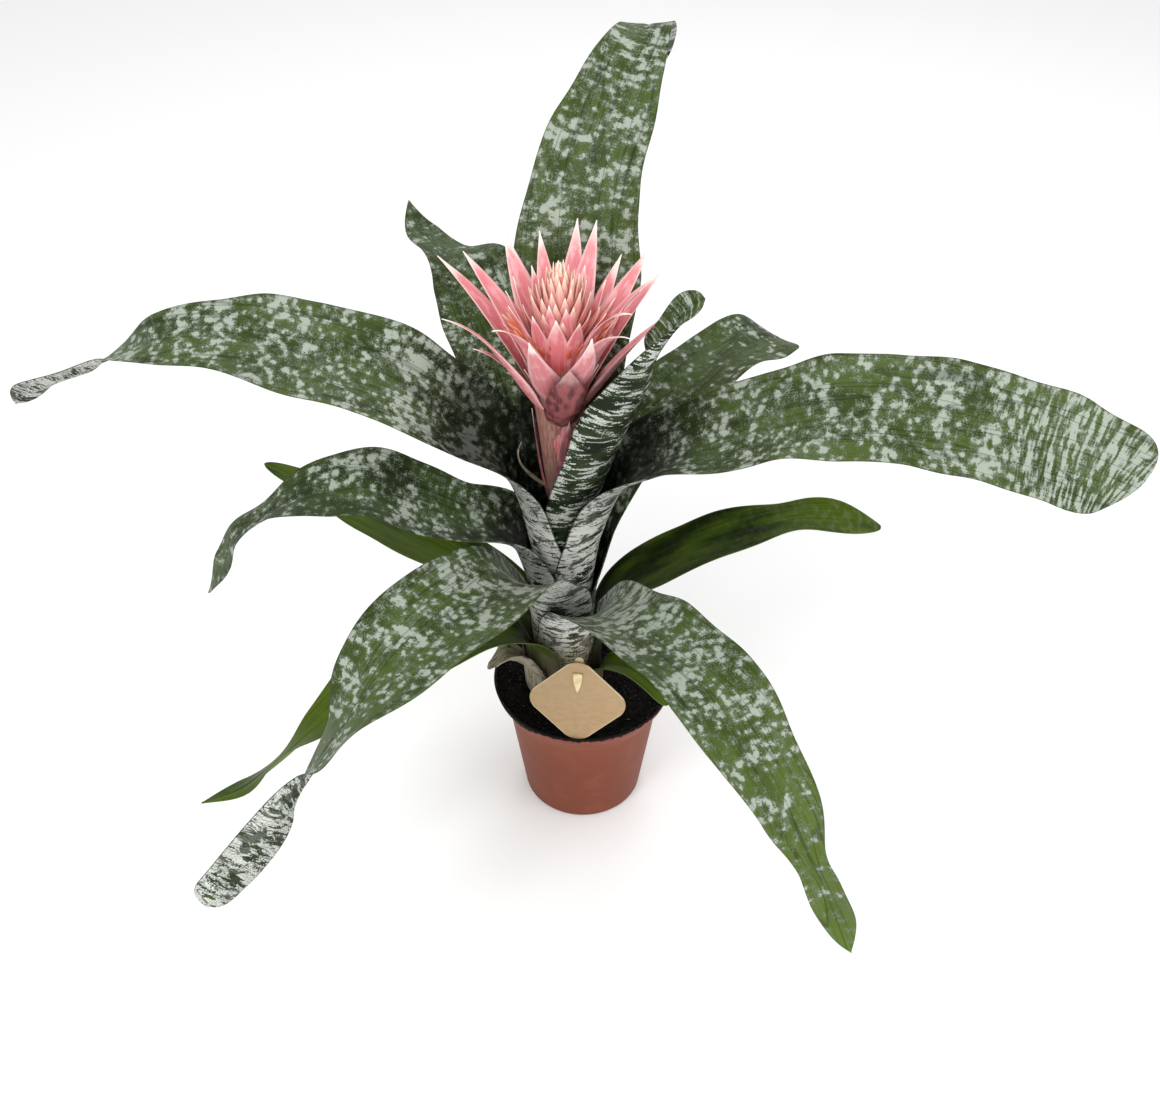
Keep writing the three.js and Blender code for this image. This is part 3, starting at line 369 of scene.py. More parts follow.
# Each pair is at the cone's rim and at its middle.
CONE_BRACTS = 66
CONE_ROOT_REACH = (12, 2)
CONE_ROOT_HEIGHT = (441, 468)
CONE_POINT_REACH = (27, 2)
CONE_POINT_HEIGHT = (476, 508)
CONE_HALF_WIDTH = (6.6, 4.4)
CONE_POINT_SLOPE = (78, 92)
CONE_ROOT_SLOPE = 80
CONE_CUP = 50
CONE_FULLNESS = 2.0
CONE_TINT = 0.8
CONE_TWIST = 12
CONE_CORE = [(11.5, 440.3), (11, 462), (9, 485), (5.5, 500)]
GOLDEN_ANGLE = 137.508

BUD_COLLAR = [(12.3, 440.3), (19.5, 440.3), (19.5, 444), (12.3, 446)]
BUD_FANS = 11
BUDS_PER_FAN = 7
BUD_FAN_SPREAD = 13
BUD_ROOT_HEIGHT = 442
BUD_LEAN = (0.3, 0.8)
BUD_LENGTH = (16, 27)
BUD_RADIUS = (0.8, 1.5)
BUD_SIDE_LEAN = 0.35
BUD_SIDE_LENGTH = 9
BUD_WIDEST = 0.4

# ---- tag
TAG_FOOT = (-5.2, -71.1, 124.8)
TAG_TURN = -8
TAG_LEAN = 7.5
TAG_HALF_SIDE = 31
TAG_CORNER_RADIUS = 14
TAG_RIM = (0.9, 0.3)  # how far in from its edge the card turns pale, and is pale

# ---- studio, in metres but for the camera
CAMERA_PLACE = (-2.5, -771.7, 909.9)
CAMERA_PITCH = 40
IMAGE_WIDTH = 1160
FOCAL_PIXELS = 1298
SENSOR_WIDTH = 36
FLOOR_HALF_SIDE = 12
FLOOR_COLOUR = (0.95, 0.95, 0.95, 1)
WORLD_STRENGTH = 0.8
LIGHT_TARGET = (0, 0, 0.3)
LIGHTS = [  # name, place, size and power
    ("key", (-0.9, -1.3, 2.2), 1.0, 20),
    ("fill", (1.5, -1.0, 1.2), 1.6, 9),
    ("front", (-0.1, -2.0, 1.1), 1.0, 13),
    ("back", (0.3, 1.6, 1.9), 1.2, 9),
]


# ==== numbers
def mix(a, b, share):
    return a + (b - a) * share


def clamp(value, low=0.0, high=1.0):
    return min(max(value, low), high)


def rise(value, start, end):
    """Goes smoothly from 0 where value is start to 1 where it is end."""
    t = clamp((value - start) / (end - start))
    return t * t * (3 - 2 * t)


def reading(rows, place, field):
    """Straight-line value of one field from rows whose first field rises."""
    last = len(rows) - 1
    k = 1
    while k < last and rows[k][0] < place:
        k += 1
    share = (place - rows[k - 1][0]) / (rows[k][0] - rows[k - 1][0])
    return mix(rows[k - 1][field], rows[k][field], clamp(share))


def between(rows, field, k, t):
    """Catmull-Rom value of one field between rows[k] and rows[k + 1]."""
    last = len(rows) - 1
    before, here, there, beyond = (rows[clamp(n, 0, last)][field] for n in range(k - 1, k + 3))
    slope_here, slope_there = (there - before) / 2, (beyond - here) / 2
    t2, t3 = t * t, t * t * t
    return (
        (2 * t3 - 3 * t2 + 1) * here + (t3 - 2 * t2 + t) * slope_here
        + (3 * t2 - 2 * t3) * there + (t3 - t2) * slope_there
    )


def shader_colour(screen_colour):
    """A colour given as it looks on a screen, 0 to 255, as the shader wants it."""
    shares = (value / 255 for value in screen_colour)
    return (*(v / 12.92 if v <= 0.04 else ((v + 0.055) / 1.055) ** 2.4 for v in shares), 1)


# ==== shader writing
def math_operator(operation, reflected=False):
    """A method of Wire that adds the Math node of one operator."""

    def apply(wire, other):
        first, second = (other, wire) if reflected else (wire, other)
        return wire.finish.maths(operation, first, second)

    return apply


class Wire:
    """A node's output that takes part in arithmetic: each operator adds a Math node."""

    def __init__(self, finish, socket):
        self.finish = finish
        self.socket = socket

    __add__ = math_operator("ADD")
    __radd__ = math_operator("ADD", reflected=True)
    __sub__ = math_operator("SUBTRACT")
    __rsub__ = math_operator("SUBTRACT", reflected=True)
    __mul__ = math_operator("MULTIPLY")
    __rmul__ = math_operator("MULTIPLY", reflected=True)
    __truediv__ = math_operator("DIVIDE")
    __rtruediv__ = math_operator("DIVIDE", reflected=True)
    __pow__ = math_operator("POWER")
    __rpow__ = math_operator("POWER", reflected=True)


class Finish:
    """One material: a Principled shader and the nodes that feed it."""

    def __init__(self, name, roughness=0.6, specular=0.5):
        self.material = bpy.data.materials.new(name)
        self.material.use_nodes = True
        self.tree = self.material.node_tree
        self.shader = self.tree.nodes["Principled BSDF"]
        self.shader.inputs["Roughness"].default_value = roughness
        self.shader.inputs["Specular IOR Level"].default_value = specular

    def node(self, kind, settings=(), values=(), output=0):
        """Adds a node, sets its settings and then its sockets' values or links, and returns one output."""
        made = self.tree.nodes.new(kind)
        for name, setting in dict(settings).items():
            setattr(made, name, setting)
        for key, value in dict(values).items():
            self.feed(self.named(made.inputs, key), value)
        return Wire(self, self.named(made.outputs, output))

    @staticmethod
    def named(sockets, key):
        if isinstance(key, int):
            return sockets[key]
        return next(s for s in sockets if s.enabled and s.name == key)

    def feed(self, socket, value):
        if isinstance(value, Wire):
            self.tree.links.new(value.socket, socket)
        elif socket.type == "RGBA":
            socket.default_value = shader_colour(value)
        else:
            socket.default_value = value

    def maths(self, operation, a, b=0):
        return self.node("ShaderNodeMath", {"operation": operation}, {0: a, 1: b})

    def attribute(self, name, output="Fac"):
        return self.node("ShaderNodeAttribute", {"attribute_name": name}, output=output)

    def parts(self, colour):
        """The three channels of a colour, or of a vector."""
        made = self.node("ShaderNodeSeparateXYZ", values={0: colour})
        return [Wire(self, socket) for socket in made.socket.node.outputs]

    def scaled(self, place, factors):
        return self.node("ShaderNodeVectorMath", {"operation": "MULTIPLY"}, {0: place, 1: factors})

    def own_place(self):
        """Object coordinates in millimetres."""
        return self.scaled(self.node("ShaderNodeTexCoord", output="Object"), (1 / MM,) * 3)

    def cloud(self, place, sizes, detail=2.0, rough=0.5, bend=0.0):
        """Noise whose blots measure about sizes along the three axes of place."""
        values = {"Detail": detail, "Roughness": rough, "Distortion": bend, "Scale": 1.0}
        values["Vector"] = self.scaled(place, tuple(1 / size for size in sizes))
        return self.node("ShaderNodeTexNoise", values=values, output="Fac")

    def cells(self, place, size):
        """Distance from the middles of scattered cells, as a share of their size."""
        stretched = self.scaled(place, (1 / size,) * 3)
        values = {"Vector": stretched, "Scale": 1.0}
        return self.node("ShaderNodeTexVoronoi", values=values, output="Distance")

    def step(self, value, low, high):
        """Rises smoothly from 0 where value is low to 1 where it is high."""
        settings = {"interpolation_type": "SMOOTHSTEP"}
        return self.node("ShaderNodeMapRange", settings, {"Value": value, "From Min": low, "From Max": high})

    def layers(self, colour, *coats):
        """A colour under coats of (colour, mask), or of (colour, pattern, low, high) and perhaps a share."""
        for coat, pattern, *limits in coats:
            share = limits.pop() if len(limits) == 3 else 1
            mask = self.step(pattern, *limits) * share if limits else pattern
            values = {"Factor": mask, "A": colour, "B": coat}
            colour = self.node("ShaderNodeMix", {"data_type": "RGBA"}, values, output="Result")
        return colour

    def made(self, colour, height, depth, roughness=None):
        """The material with its colour and a bump, where height from 0 to 1 stands for depth millimetres."""
        values = {"Height": height, "Distance": depth * MM}
        self.feed(self.shader.inputs["Base Color"], colour)
        self.feed(self.shader.inputs["Normal"], self.node("ShaderNodeBump", values=values, output="Normal"))
        if roughness is not None:
            self.feed(self.shader.inputs["Roughness"], roughness)
        return self.material


# ==== leaf finishes
def leaf_readings(paint):
    """The place on the sheet, then [silver, painted shade, fresh], then [band, margin, pallor]."""
    tone, mark = (paint.parts(paint.attribute(name, "Color")) for name in ("leaf_tone", "leaf_mark"))
    return paint.attribute("leaf_place", "Vector"), tone, mark


def crossing_lines(paint, cloud, width):
    """Wavy lines where a cloud passes through its middle value."""
    return 1 - paint.step(paint.maths("ABSOLUTE", cloud - 0.5), width * 0.3, width)


def veins(paint, place):
    return paint.cloud(place, (1.3, 120, 1), rough=0.6)


def dust_grain(paint, place):
    return paint.cloud(place, (1.3, 1.2, 1), detail=1)


def dust_field(paint, place, band):
    """Where silver dust gathers: in clustered blots, or in thin cross-bands as far as band says."""
    zones = paint.cloud(place, (42, 19, 1), detail=1)
    blobs = paint.cloud(place, (7.5, 6.5, 1), detail=1, bend=0.3)
    fringe = paint.cloud(place, (3.2, 2.6, 1))
    spots = 1 - paint.cells(place, 5.5)
    blotted = zones * 0.34 + blobs * 0.36 + spots * 0.2 + fringe * 0.1
    banded = paint.cloud(place, (26, 3.4, 1), bend=0.25) * 0.72 + blobs * 0.28
    return blotted + (banded - blotted) * band


def silver_leaf_face():
    """The upper face of a banded leaf: satin green under clustered, dusty blots of silver scales, with
    painted shade deep in the tank and along its creases.
    """
    paint = Finish("silver_leaf_face", specular=0.14)
    place, (silver, gloom, fresh), (band, margin, _) = leaf_readings(paint)
    field = dust_field(paint, place, band)
    grain = dust_grain(paint, place)
    speckle = grain - 0.5
    cut = 0.59 - silver * 0.18
    soft = 0.075 - band * 0.045
    cover = paint.step(field + speckle * 0.4, cut - soft * 0.6, cut + soft)
    core = paint.step(field, cut + 0.01, cut + 0.13)
    lines = veins(paint, place)
    shade = paint.cloud(place, (24, 70, 1), detail=3)
    # Lengthwise creases, pressed in by the bump and darkened with painted shade along their lines.
    crease_and_shade = crossing_lines(paint, paint.cloud(place, (9, 150, 1), detail=1), 0.02)
    green = paint.layers(
        (41, 53, 25),
        ((67, 84, 38), shade, 0.4, 0.6),
        ((90, 110, 38), fresh * 0.75),
        (BLACK, lines, 0.42, 0.68, 0.25),
        # painted shade deep in the tank
        (BLACK, gloom),
    )
    dust = paint.layers(
        (98, 109, 90),
        ((162, 170, 157), core + speckle * 1.2, 0.1, 0.95),
        # painted shade, lighter on the dust until deep in the tank
        (BLACK, gloom**3),
    )
    coat = paint.layers(
        green,
        (dust, cover * 0.94),
        # painted shade in the creases
        (BLACK, crease_and_shade * 0.4),
        ((60, 70, 40), margin, 0.97, 1.0, (1 - gloom) * 0.5),
    )
    relief = lines * 0.5 + cover * grain * 0.5 - crease_and_shade * 0.6
    return paint.made(coat, relief, 0.3, roughness=0.42 + cover * 0.35)


def silver_leaf_back():
    """The under face: nearly white with dark mottles and wavy lines, beige and dry down on the sheath. Near
    the sheath it is whiter, partly with painted light, and a little painted shade darkens it in the tank.
    """
    paint = Finish("silver_leaf_back", specular=0.14)
    place, (_, gloom, fresh), (_, margin, pallor) = leaf_readings(paint)
    _, along, _ = paint.parts(place)
    bands = paint.cloud(place, (14, 3, 1), bend=0.6)
    blots = paint.cloud(place, (26, 17, 1), detail=3)
    mottle = paint.cloud(place, (20, 12, 1), detail=4, rough=0.62, bend=0.6)
    dashes = paint.cloud(place, (13, 1.8, 1), detail=3, rough=0.6)
    waves = crossing_lines(paint, paint.cloud(place, (22, 4.2, 1), bend=0.8), 0.024)
    grain = dust_grain(paint, place)
    lines = veins(paint, place)
    field = bands * 0.66 + blots * 0.34 + (grain - 0.5) * 0.2 + (margin - 0.5) * 0.05
    cut = 0.56 - pallor * 0.12
    cover = paint.step(field, cut - 0.014, cut + 0.02)
    pale = paint.layers(
        (150, 156, 148),
        ((200, 203, 196), grain + blots * 0.5, 0.62, 0.86),
        # whiter towards the sheath: partly the pale scales, partly painted light where the leaves above
        # shade it
        ((234, 235, 227), along, 60, 5, 0.9),
    )
    dry = paint.layers(
        (186, 178, 150),
        ((126, 118, 92), lines + blots * 0.4, 0.6, 0.8),
        ((36, 36, 24), dashes, 0.53, 0.59, 0.9),
        ((44, 42, 28), waves * 0.7),
    )
    coat = paint.layers(
        (24, 34, 20),
        ((52, 66, 40), blots, 0.4, 0.62),
        ((84, 98, 58), fresh * 0.4),
        (pale, cover * 0.95),
        ((46, 55, 40), mottle, 0.53, 0.59, pallor * 0.85),
        ((26, 34, 22), waves * pallor * 0.9),
        (dry, paint.attribute("leaf_sheath")),
        (BLACK, lines, 0.45, 0.75, 0.12),
        (BLACK, margin, 0.972, 0.992, 0.78),
        # painted shade deep in the tank
        (BLACK, gloom * 0.15),
    )
    return paint.made(coat, lines * 0.6 + cover * grain * 0.4 - waves * 0.5, 0.3)


def green_leaf_finish(name, deep, bright):
    """A plain satin leaf with fine lengthwise lines, a little silver dust towards its tip and painted shade
    deep in the tank.
    """
    paint = Finish(name, specular=0.08)
    place, (silver, gloom, fresh), (_, margin, _) = leaf_readings(paint)
    shade = paint.cloud(place, (14, 60, 1), detail=3)
    dust = paint.cloud(place, (8, 5, 1), detail=3)
    lines = veins(paint, place)
    dry = paint.layers((128, 120, 96), ((84, 76, 56), lines, 0.4, 0.7))
    coat = paint.layers(
        deep,
        (bright, shade + fresh * 0.3, 0.42, 0.82),
        (BLACK, lines, 0.42, 0.68, 0.35),
        ((112, 126, 96), dust, 0.45, 0.62, silver),
        ((104, 120, 66), margin, 0.955, 1.0, 0.6),
        (dry, paint.attribute("leaf_sheath")),
        # painted shade deep in the tank
        (BLACK, gloom),
    )
    return paint.made(coat, lines, 0.2, roughness=0.34 + paint.step(shade, 0.3, 0.7) * 0.18)


def withered_leaf():
    """A dried leaf remnant: papery beige-grey with brown streaks."""
    paint = Finish("withered_leaf", roughness=0.85, specular=0.2)
    place = paint.attribute("leaf_place", "Vector")
    streaks = paint.cloud(place, (1.6, 30, 1), detail=3, rough=0.65)
    blots = paint.cloud(place, (14, 9, 1), detail=3)
    paper = ((104, 98, 80), streaks, 0.4, 0.65), ((52, 48, 34), blots, 0.54, 0.66, 0.85)
    return paint.made(paint.layers((158, 150, 130), *paper), streaks, 0.6)


def leaf_finishes():
    """For each finish of a leaf, its upper and under face and a slot name."""
    withered = withered_leaf()
    green_face = green_leaf_finish("green_leaf_face", (20, 36, 3), (74, 94, 16))
    green_back = green_leaf_finish("green_leaf_back", (42, 58, 14), (88, 108, 30))
    return {
        "silver": (silver_leaf_face(), silver_leaf_back(), "leaf_silver"),
        "green": (green_face, green_back, "leaf_green"),
        "withered": (withered, withered, "leaf_withered"),
    }


# ==== flower finishes
def bract_paint(name, roughness=0.5, specular=0.35):
    """A finish, the place on a bract or bud, and [along, margin, tint]."""
    paint = Finish(name, roughness, specular)
    place, tone = paint.attribute("bract_place", "Vector"), paint.attribute("bract_tone", "Color")
    return paint, place, paint.parts(tone)


def let_light_in(paint):
    """Makes thin tissue glow a little where light passes into it."""
    paint.shader.inputs["Subsurface Weight"].default_value = 0.12
    paint.shader.inputs["Subsurface Radius"].default_value = (4 * MM, 1.5 * MM, 1 * MM)


def bract_finish():
    """A pink bract: coral at its root, rose along its blade, cream at its point, with fine lines."""
    paint, place, (along, margin, grey) = bract_paint("bract")
    let_light_in(paint)
    lines = paint.cloud(place, (0.55, 45, 1), rough=0.6)
    blots = paint.cloud(place, (5, 12, 1))
    cream = paint.step(along + (blots - 0.5) * 0.14, 0.8, 0.97) * (1 - grey * 0.6)
    # A darker, duller rose, mixed in as far as a bract's greyness says.
    dull_rose = paint.layers(
        (146, 80, 82),
        ((90, 42, 46), blots, 0.38, 0.6),
        ((150, 100, 100), lines, 0.5, 0.7, 0.5),
    )
    pink = paint.layers(
        (206, 98, 94),
        ((224, 130, 136), along, 0.08, 0.5),
        ((234, 160, 166), lines, 0.42, 0.66, 0.75),
        ((240, 188, 190), blots, 0.46, 0.66, 0.65),
        ((243, 204, 204), margin, 0.55, 0.95, 0.7),
        ((248, 232, 224), cream),
        (dull_rose, grey * (1 - cream)),
    )
    return paint.made(pink, lines, 0.18)


def cone_finish():
    """The short bracts of the cone: salmon below, fading to cream points."""
    paint, place, (along, margin, pale) = bract_paint("cone_bract")
    let_light_in(paint)
    lines = paint.cloud(place, (0.6, 40, 1), rough=0.6)
    salmon = paint.layers(
        (214, 116, 106),
        ((226, 146, 142), along, 0.2, 0.7),
        ((232, 170, 160), pale),
        ((240, 196, 184), lines, 0.45, 0.65, 0.6),
        ((240, 196, 186), margin, 0.6, 1.0, 0.5),
        ((246, 226, 204), along, 0.72, 0.98, 0.85),
    )
    return paint.made(salmon, lines, 0.15)


def spikelet_finish():
    """Flower buds: orange with cream points."""
    paint, place, (along, _, _) = bract_paint("spikelet", roughness=0.45, specular=0.4)
    lines = paint.cloud(place, (0.8, 20, 1))
    cream = ((234, 146, 112), lines, 0.35, 0.65), ((250, 214, 176), along, 0.72, 1.0)
    return paint.made(paint.layers((222, 104, 72), *cream), lines, 0.12)


def stalk_finish():
    """The stalk under the head: dusty pink and beige with brown-red lengthwise streaks."""
    paint = Finish("flower_stalk", roughness=0.6, specular=0.3)
    place = paint.own_place()
    _, _, height = paint.parts(place)
    streaks = paint.cloud(place, (1.4, 1.4, 40), detail=3, rough=0.6)
    dust = paint.cloud(place, (7, 7, 10))
    rose = paint.layers((136, 86, 76), ((166, 122, 110), streaks, 0.4, 0.62))
    skin = paint.layers(
        (118, 92, 80),
        ((84, 52, 44), streaks, 0.45, 0.68, 0.7),
        (rose, height, 315, 375),
        ((128, 112, 98), dust, 0.45, 0.7, 0.5),
    )
    return paint.made(skin, streaks, 0.3)


# ==== pot, soil, stem and tag finishes
def pot_finish():
    """Moulded terracotta-coloured plastic, black with peat inside and ragged with it along the rim."""
    paint = Finish("terracotta_plastic", specular=0.25)
    place = paint.own_place()
    _, _, height = paint.parts(place)
    mottle = paint.cloud(place, (18,) * 3, detail=3)
    speck = paint.cloud(place, (0.9,) * 3, detail=1)
    ragged = paint.cloud(place, (3.5,) * 3, detail=4, rough=0.7)
    peaty = paint.step(paint.attribute("pot_peat") + (ragged - 0.5) * 2.2, 0.66, 0.72)
    clay = paint.layers(
        (114, 56, 35),
        # a little lighter towards the top: painted light falling from above
        ((124, 62, 40), height, 60, 118),
        ((132, 74, 51), mottle, 0.45, 0.72, 0.35),
        ((96, 50, 38), speck, 0.6, 0.7, 0.25),
        ((14, 10, 9), peaty),
    )
    relief = mottle * 0.3 + speck * 0.2 + peaty * ragged
    return paint.made(clay, relief, 0.3, roughness=0.55 + peaty * 0.4)


def peat_finish():
    """Peat: nearly black, with brown fibre and a few pale specks."""
    paint = Finish("peat", roughness=0.95, specular=0.15)
    place = paint.own_place()
    crumb = paint.cloud(place, (2.2,) * 3, detail=4, rough=0.7)
    patch = paint.cloud(place, (12,) * 3)
    speck = paint.cloud(place, (1.1,) * 3, detail=0)
    peat = paint.layers(
        (5, 4, 4),
        ((26, 19, 16), crumb, 0.42, 0.75),
        ((48, 30, 25), patch, 0.55, 0.75, paint.step(crumb, 0.5, 0.7) * 0.7),
        ((150, 142, 132), speck, 0.79, 0.83, 0.6),
    )
    return paint.made(peat, crumb, 1.2)


def stem_finish():
    """The short woody stem: beige with darker rings and fibres."""
    paint = Finish("stem", roughness=0.85, specular=0.2)
    place = paint.own_place()
    rings = paint.cloud(place, (30, 30, 2), detail=3)
    fibre = paint.cloud(place, (1.5, 1.5, 12))
    bark = ((146, 136, 104), rings, 0.4, 0.65), ((58, 48, 34), fibre, 0.55, 0.72, 0.7)
    return paint.made(paint.layers((92, 84, 58), *bark), rings, 0.6)


def card_finish():
    """Gold-tan coated card with a paler edge and a faint brushed sheen."""
    paint = Finish("tag_card", roughness=0.42, specular=0.4)
    place = paint.own_place()
    turn = -radians(TAG_TURN)
    foot = Matrix.Rotation(turn, 4, "Z") @ Vector(TAG_FOOT)
    values = {"Vector": place, "Location": tuple(-foot), "Rotation": (0, 0, turn)}
    across, _, height = paint.parts(paint.node("ShaderNodeMapping", {"vector_type": "POINT"}, values))
    half_diagonal = (TAG_HALF_SIDE - TAG_CORNER_RADIUS) * math.sqrt(2) + TAG_CORNER_RADIUS
    up = paint.maths("ABSOLUTE", height / cos(radians(TAG_LEAN)) - half_diagonal)
    diagonal = (up + paint.maths("ABSOLUTE", across)) / math.sqrt(2)
    fibre = paint.cloud(place, (6, 6, 3), detail=3)
    gold = paint.layers(
        (156, 128, 91),
        ((166, 138, 101), fibre, 0.3, 0.7),
        ((168, 144, 108), height, 10, 60, 0.4),
        ((196, 176, 144), diagonal, *(TAG_HALF_SIDE - inset for inset in TAG_RIM)),
    )
    return paint.made(gold, fibre, 0.03)


def stake_finish():
    """Pale gold plastic, a little cloudy."""
    paint = Finish("tag_stake", roughness=0.35, specular=0.5)
    place = paint.own_place()
    clouds = paint.cloud(place, (5,) * 3)
    lines = paint.cloud(place, (0.8, 0.8, 15), detail=1)
    gold = ((222, 206, 164), clouds, 0.35, 0.65), ((200, 172, 112), lines, 0.5, 0.7, 0.5)
    return paint.made(paint.layers((200, 180, 130), *gold), lines, 0.1)


# ==== meshes
def linked(name, data):
    """A new object in the scene."""
    made = bpy.data.objects.new(name, data)
    bpy.context.scene.collection.objects.link(made)
    return made


def mesh_object(name, bm, *materials):
    """A new object with the faces of a bmesh, which is used up."""
    mesh = bpy.data.meshes.new(name)
    bm.to_mesh(mesh)
    bm.free()
    for material in materials:
        mesh.materials.append(material)
    return linked(name, mesh)


def finished(name, bm, materials, node, wall=0, smooth_faces=True):
    """Turns a bmesh in millimetres into a piece that rides on the plant and stands for a CAD node.

    A sheet gets its wall, scaled by the thickness of each vertex, and its last material on the under side.
    """
    bmesh.ops.scale(bm, vec=(MM, MM, MM), verts=bm.verts)
    for face in bm.faces:
        face.smooth = smooth_faces
    piece = mesh_object(name, bm, *materials)
    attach(piece, "root")
    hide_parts(node)
    if wall:
        piece.vertex_groups.new(name="thickness")
        solid = piece.modifiers.new("wall", "SOLIDIFY")
        solid.thickness = wall * MM
        solid.offset = 0
        solid.vertex_group = "thickness"
        solid.material_offset = len(materials) - 1
    return piece


def subdivided(points, step):
    """A polyline with extra points so that no stretch is longer than step."""
    fine = [points[0]]
    for (r0, z0), (r1, z1) in zip(points, points[1:]):
        pieces = max(1, ceil(hypot(r1 - r0, z1 - z0) / step))
        fine += [(mix(r0, r1, k / pieces), mix(z0, z1, k / pieces)) for k in range(1, pieces + 1)]
    return fine


def spun(bm, profile, segments, step=math.inf):
    """Adds a solid of revolution about Z from (radius, height) points, closed to the axis at both ends."""
    closed = subdivided([(0, profile[0][1]), *profile, (0, profile[-1][1])], step)
    verts = [bm.verts.new((radius, 0, height)) for radius, height in closed]
    edges = [bm.edges.new(pair) for pair in zip(verts, verts[1:])]
    bmesh.ops.spin(
        bm, geom=verts + edges, cent=(0, 0, 0), axis=(0, 0, 1), angle=tau, steps=segments, use_merge=True
    )
    bmesh.ops.remove_doubles(bm, verts=bm.verts, dist=0.001)
    bmesh.ops.recalc_face_normals(bm, faces=bm.faces)


def sheet_layers(bm, prefix):
    """The place, tone and thickness that each vertex of a sheet carries."""
    layers = bm.verts.layers
    place, tone = layers.float_vector.new(prefix + "_place"), layers.float_color.new(prefix + "_tone")
    return place, tone, layers.deform.verify()


def sheet_points(bm, columns, rows):
    """Adds a sheet's grid and gives each vertex, its place across from -1 to 1, and its row."""
    for vert in bmesh.ops.create_grid(bm, x_segments=columns, y_segments=rows, size=1)["verts"]:
        yield vert, -vert.co.x, round((vert.co.y + 1) / 2 * rows)


def out_and_side(bearing):
    """Level directions outwards and sideways at a bearing in radians."""
    return Vector((cos(bearing), sin(bearing), 0)), Vector((-sin(bearing), cos(bearing), 0))


def sheet_axes(forward, side, roll):
    """Directions across a sheet and out of its upper face, rolled about the way it runs."""
    flat = (side - forward * side.dot(forward)).normalized()
    across = flat * cos(roll) + forward.cross(flat) * sin(roll)
    return across, forward.cross(across)


def cupped(middle, across, face, radius, angle, lift):
    """A point on a sheet's hollow cross-section, lifted out of its face."""
    return middle + across * (radius * sin(angle)) + face * (radius * (1 - cos(angle)) + lift)


# ==== leaves
def leaf_plan(order, fields):
    """A leaf's fields with the defaults filled in, and where its sheath sits."""
    root = FIRST_ROOT_HEIGHT + order * ROOT_PITCH
    radius = OUTER_SHEATH_RADIUS - order * SHEATH_PITCH
    return SimpleNamespace(**{**LEAF_DEFAULTS, **fields}, order=order, root=root, sheath_radius=radius)


def tank_flare(height):
    low = max(height - FIRST_ROOT_HEIGHT, 0)
    high = max(height - TANK_CURL_HEIGHT, 0)
    return TANK_FLARE * low + TANK_CURL * high * high


def sheath_row(leaf, height):
    """One arc of a sheath round the plant's axis: reach, height, sway, half width, cup and roll."""
    reach = leaf.sheath_radius + tank_flare(height)
    neck_half = leaf.blade[0][3]
    half = mix(leaf.sheath_half, neck_half, rise(height, leaf.root, leaf.sheath_top))
    half = min(half, reach * radians(SHEATH_FULL_WRAP))
    return (reach, height, 0, half, math.degrees(half / reach), 0)


def blade_line(leaf):
    """The blade's length, and a function that gives its section at a distance from the sheath's top."""
    levels = range(FIRST_ROOT_HEIGHT, leaf.sheath_top + 2, SHEATH_LEVEL_STEP)
    heights = [leaf.root, *(level for level in levels if level > leaf.root + LEAST_LEVEL_STEP)]
    stations = [sheath_row(leaf, height) for height in heights] + leaf.blade
    fine = [
        [between(stations, field, k, step / FINE_STEPS) for field in range(6)]
        for k in range(len(heights) - 1, len(stations) - 1) for step in range(FINE_STEPS)
    ]
    fine.append(stations[-1])
    distance = [0.0]
    for a, b in zip(fine, fine[1:]):
        distance.append(distance[-1] + math.dist(a[:3], b[:3]))

    def section_at(wanted):
        k = clamp(bisect_left(distance, wanted), 1, len(fine) - 1)
        share = (wanted - distance[k - 1]) / (distance[k] - distance[k - 1])
        return [mix(a, b, share) for a, b in zip(fine[k - 1], fine[k])]

    return distance[-1], section_at


def leaf_rows(leaf):
    """The leaf's rows from root to tip, with their section, place along the blade, share, width and lag.

    along is negative on the sheath, and lag rises from 0 there to 1 where the blade runs free.
    """
    rows = []
    sheath_steps = ceil((leaf.sheath_top - leaf.root) / SHEATH_ROW_STEP)
    for k in range(sheath_steps + 1):
        height = mix(leaf.root, leaf.sheath_top, k / sheath_steps)
        along = height - leaf.sheath_top
        rows.append(SimpleNamespace(section=sheath_row(leaf, height), along=along, share=0, narrow=1, lag=0))
    length, section_at = blade_line(leaf)
    body = length - leaf.tip
    body_steps = ceil(body / BLADE_ROW_STEP)
    marks = [body * k / body_steps for k in range(1, body_steps + 1)]
    marks += [body + leaf.tip * (1 - (1 - k / TIP_ROWS) ** 2) for k in range(1, TIP_ROWS + 1)]
    for along in marks:
        tip_share = clamp(1 - (length - along) / leaf.tip)
        narrow = max(max(1 - tip_share**leaf.fineness, 0) ** leaf.blunting, LEAST_TIP)
        place = dict(along=along, share=along / length, lag=rise(along, 0, NECK_LENGTH))
        rows.append(SimpleNamespace(section=section_at(along), narrow=narrow, **place))
    return rows


def add_directions(leaf, rows):
    """Adds to each row its middle point and the directions along it, across it and out of its upper face."""
    out, side = out_and_side(radians(leaf.bearing))
    for row in rows:
        reach, height, sway = row.section[:3]
        row.middle = Vector((PLANT_X, 0, 0)) + out * reach + UP * height + side * sway
    last = len(rows) - 1
    for k, row in enumerate(rows):
        along = (rows[min(k + 2, last)].middle - rows[max(k - 2, 0)].middle).normalized()
        row.forward = UP.lerp(along, row.lag).normalized()
        row.across, row.face = sheet_axes(row.forward, side, radians(row.section[5]))


def three_part(values, share):
    """A value given near the tank, half way out and at the tip."""
    near, middle, far = values
    return mix(near, middle, share * 2) if share < 0.5 else mix(middle, far, share * 2 - 1)


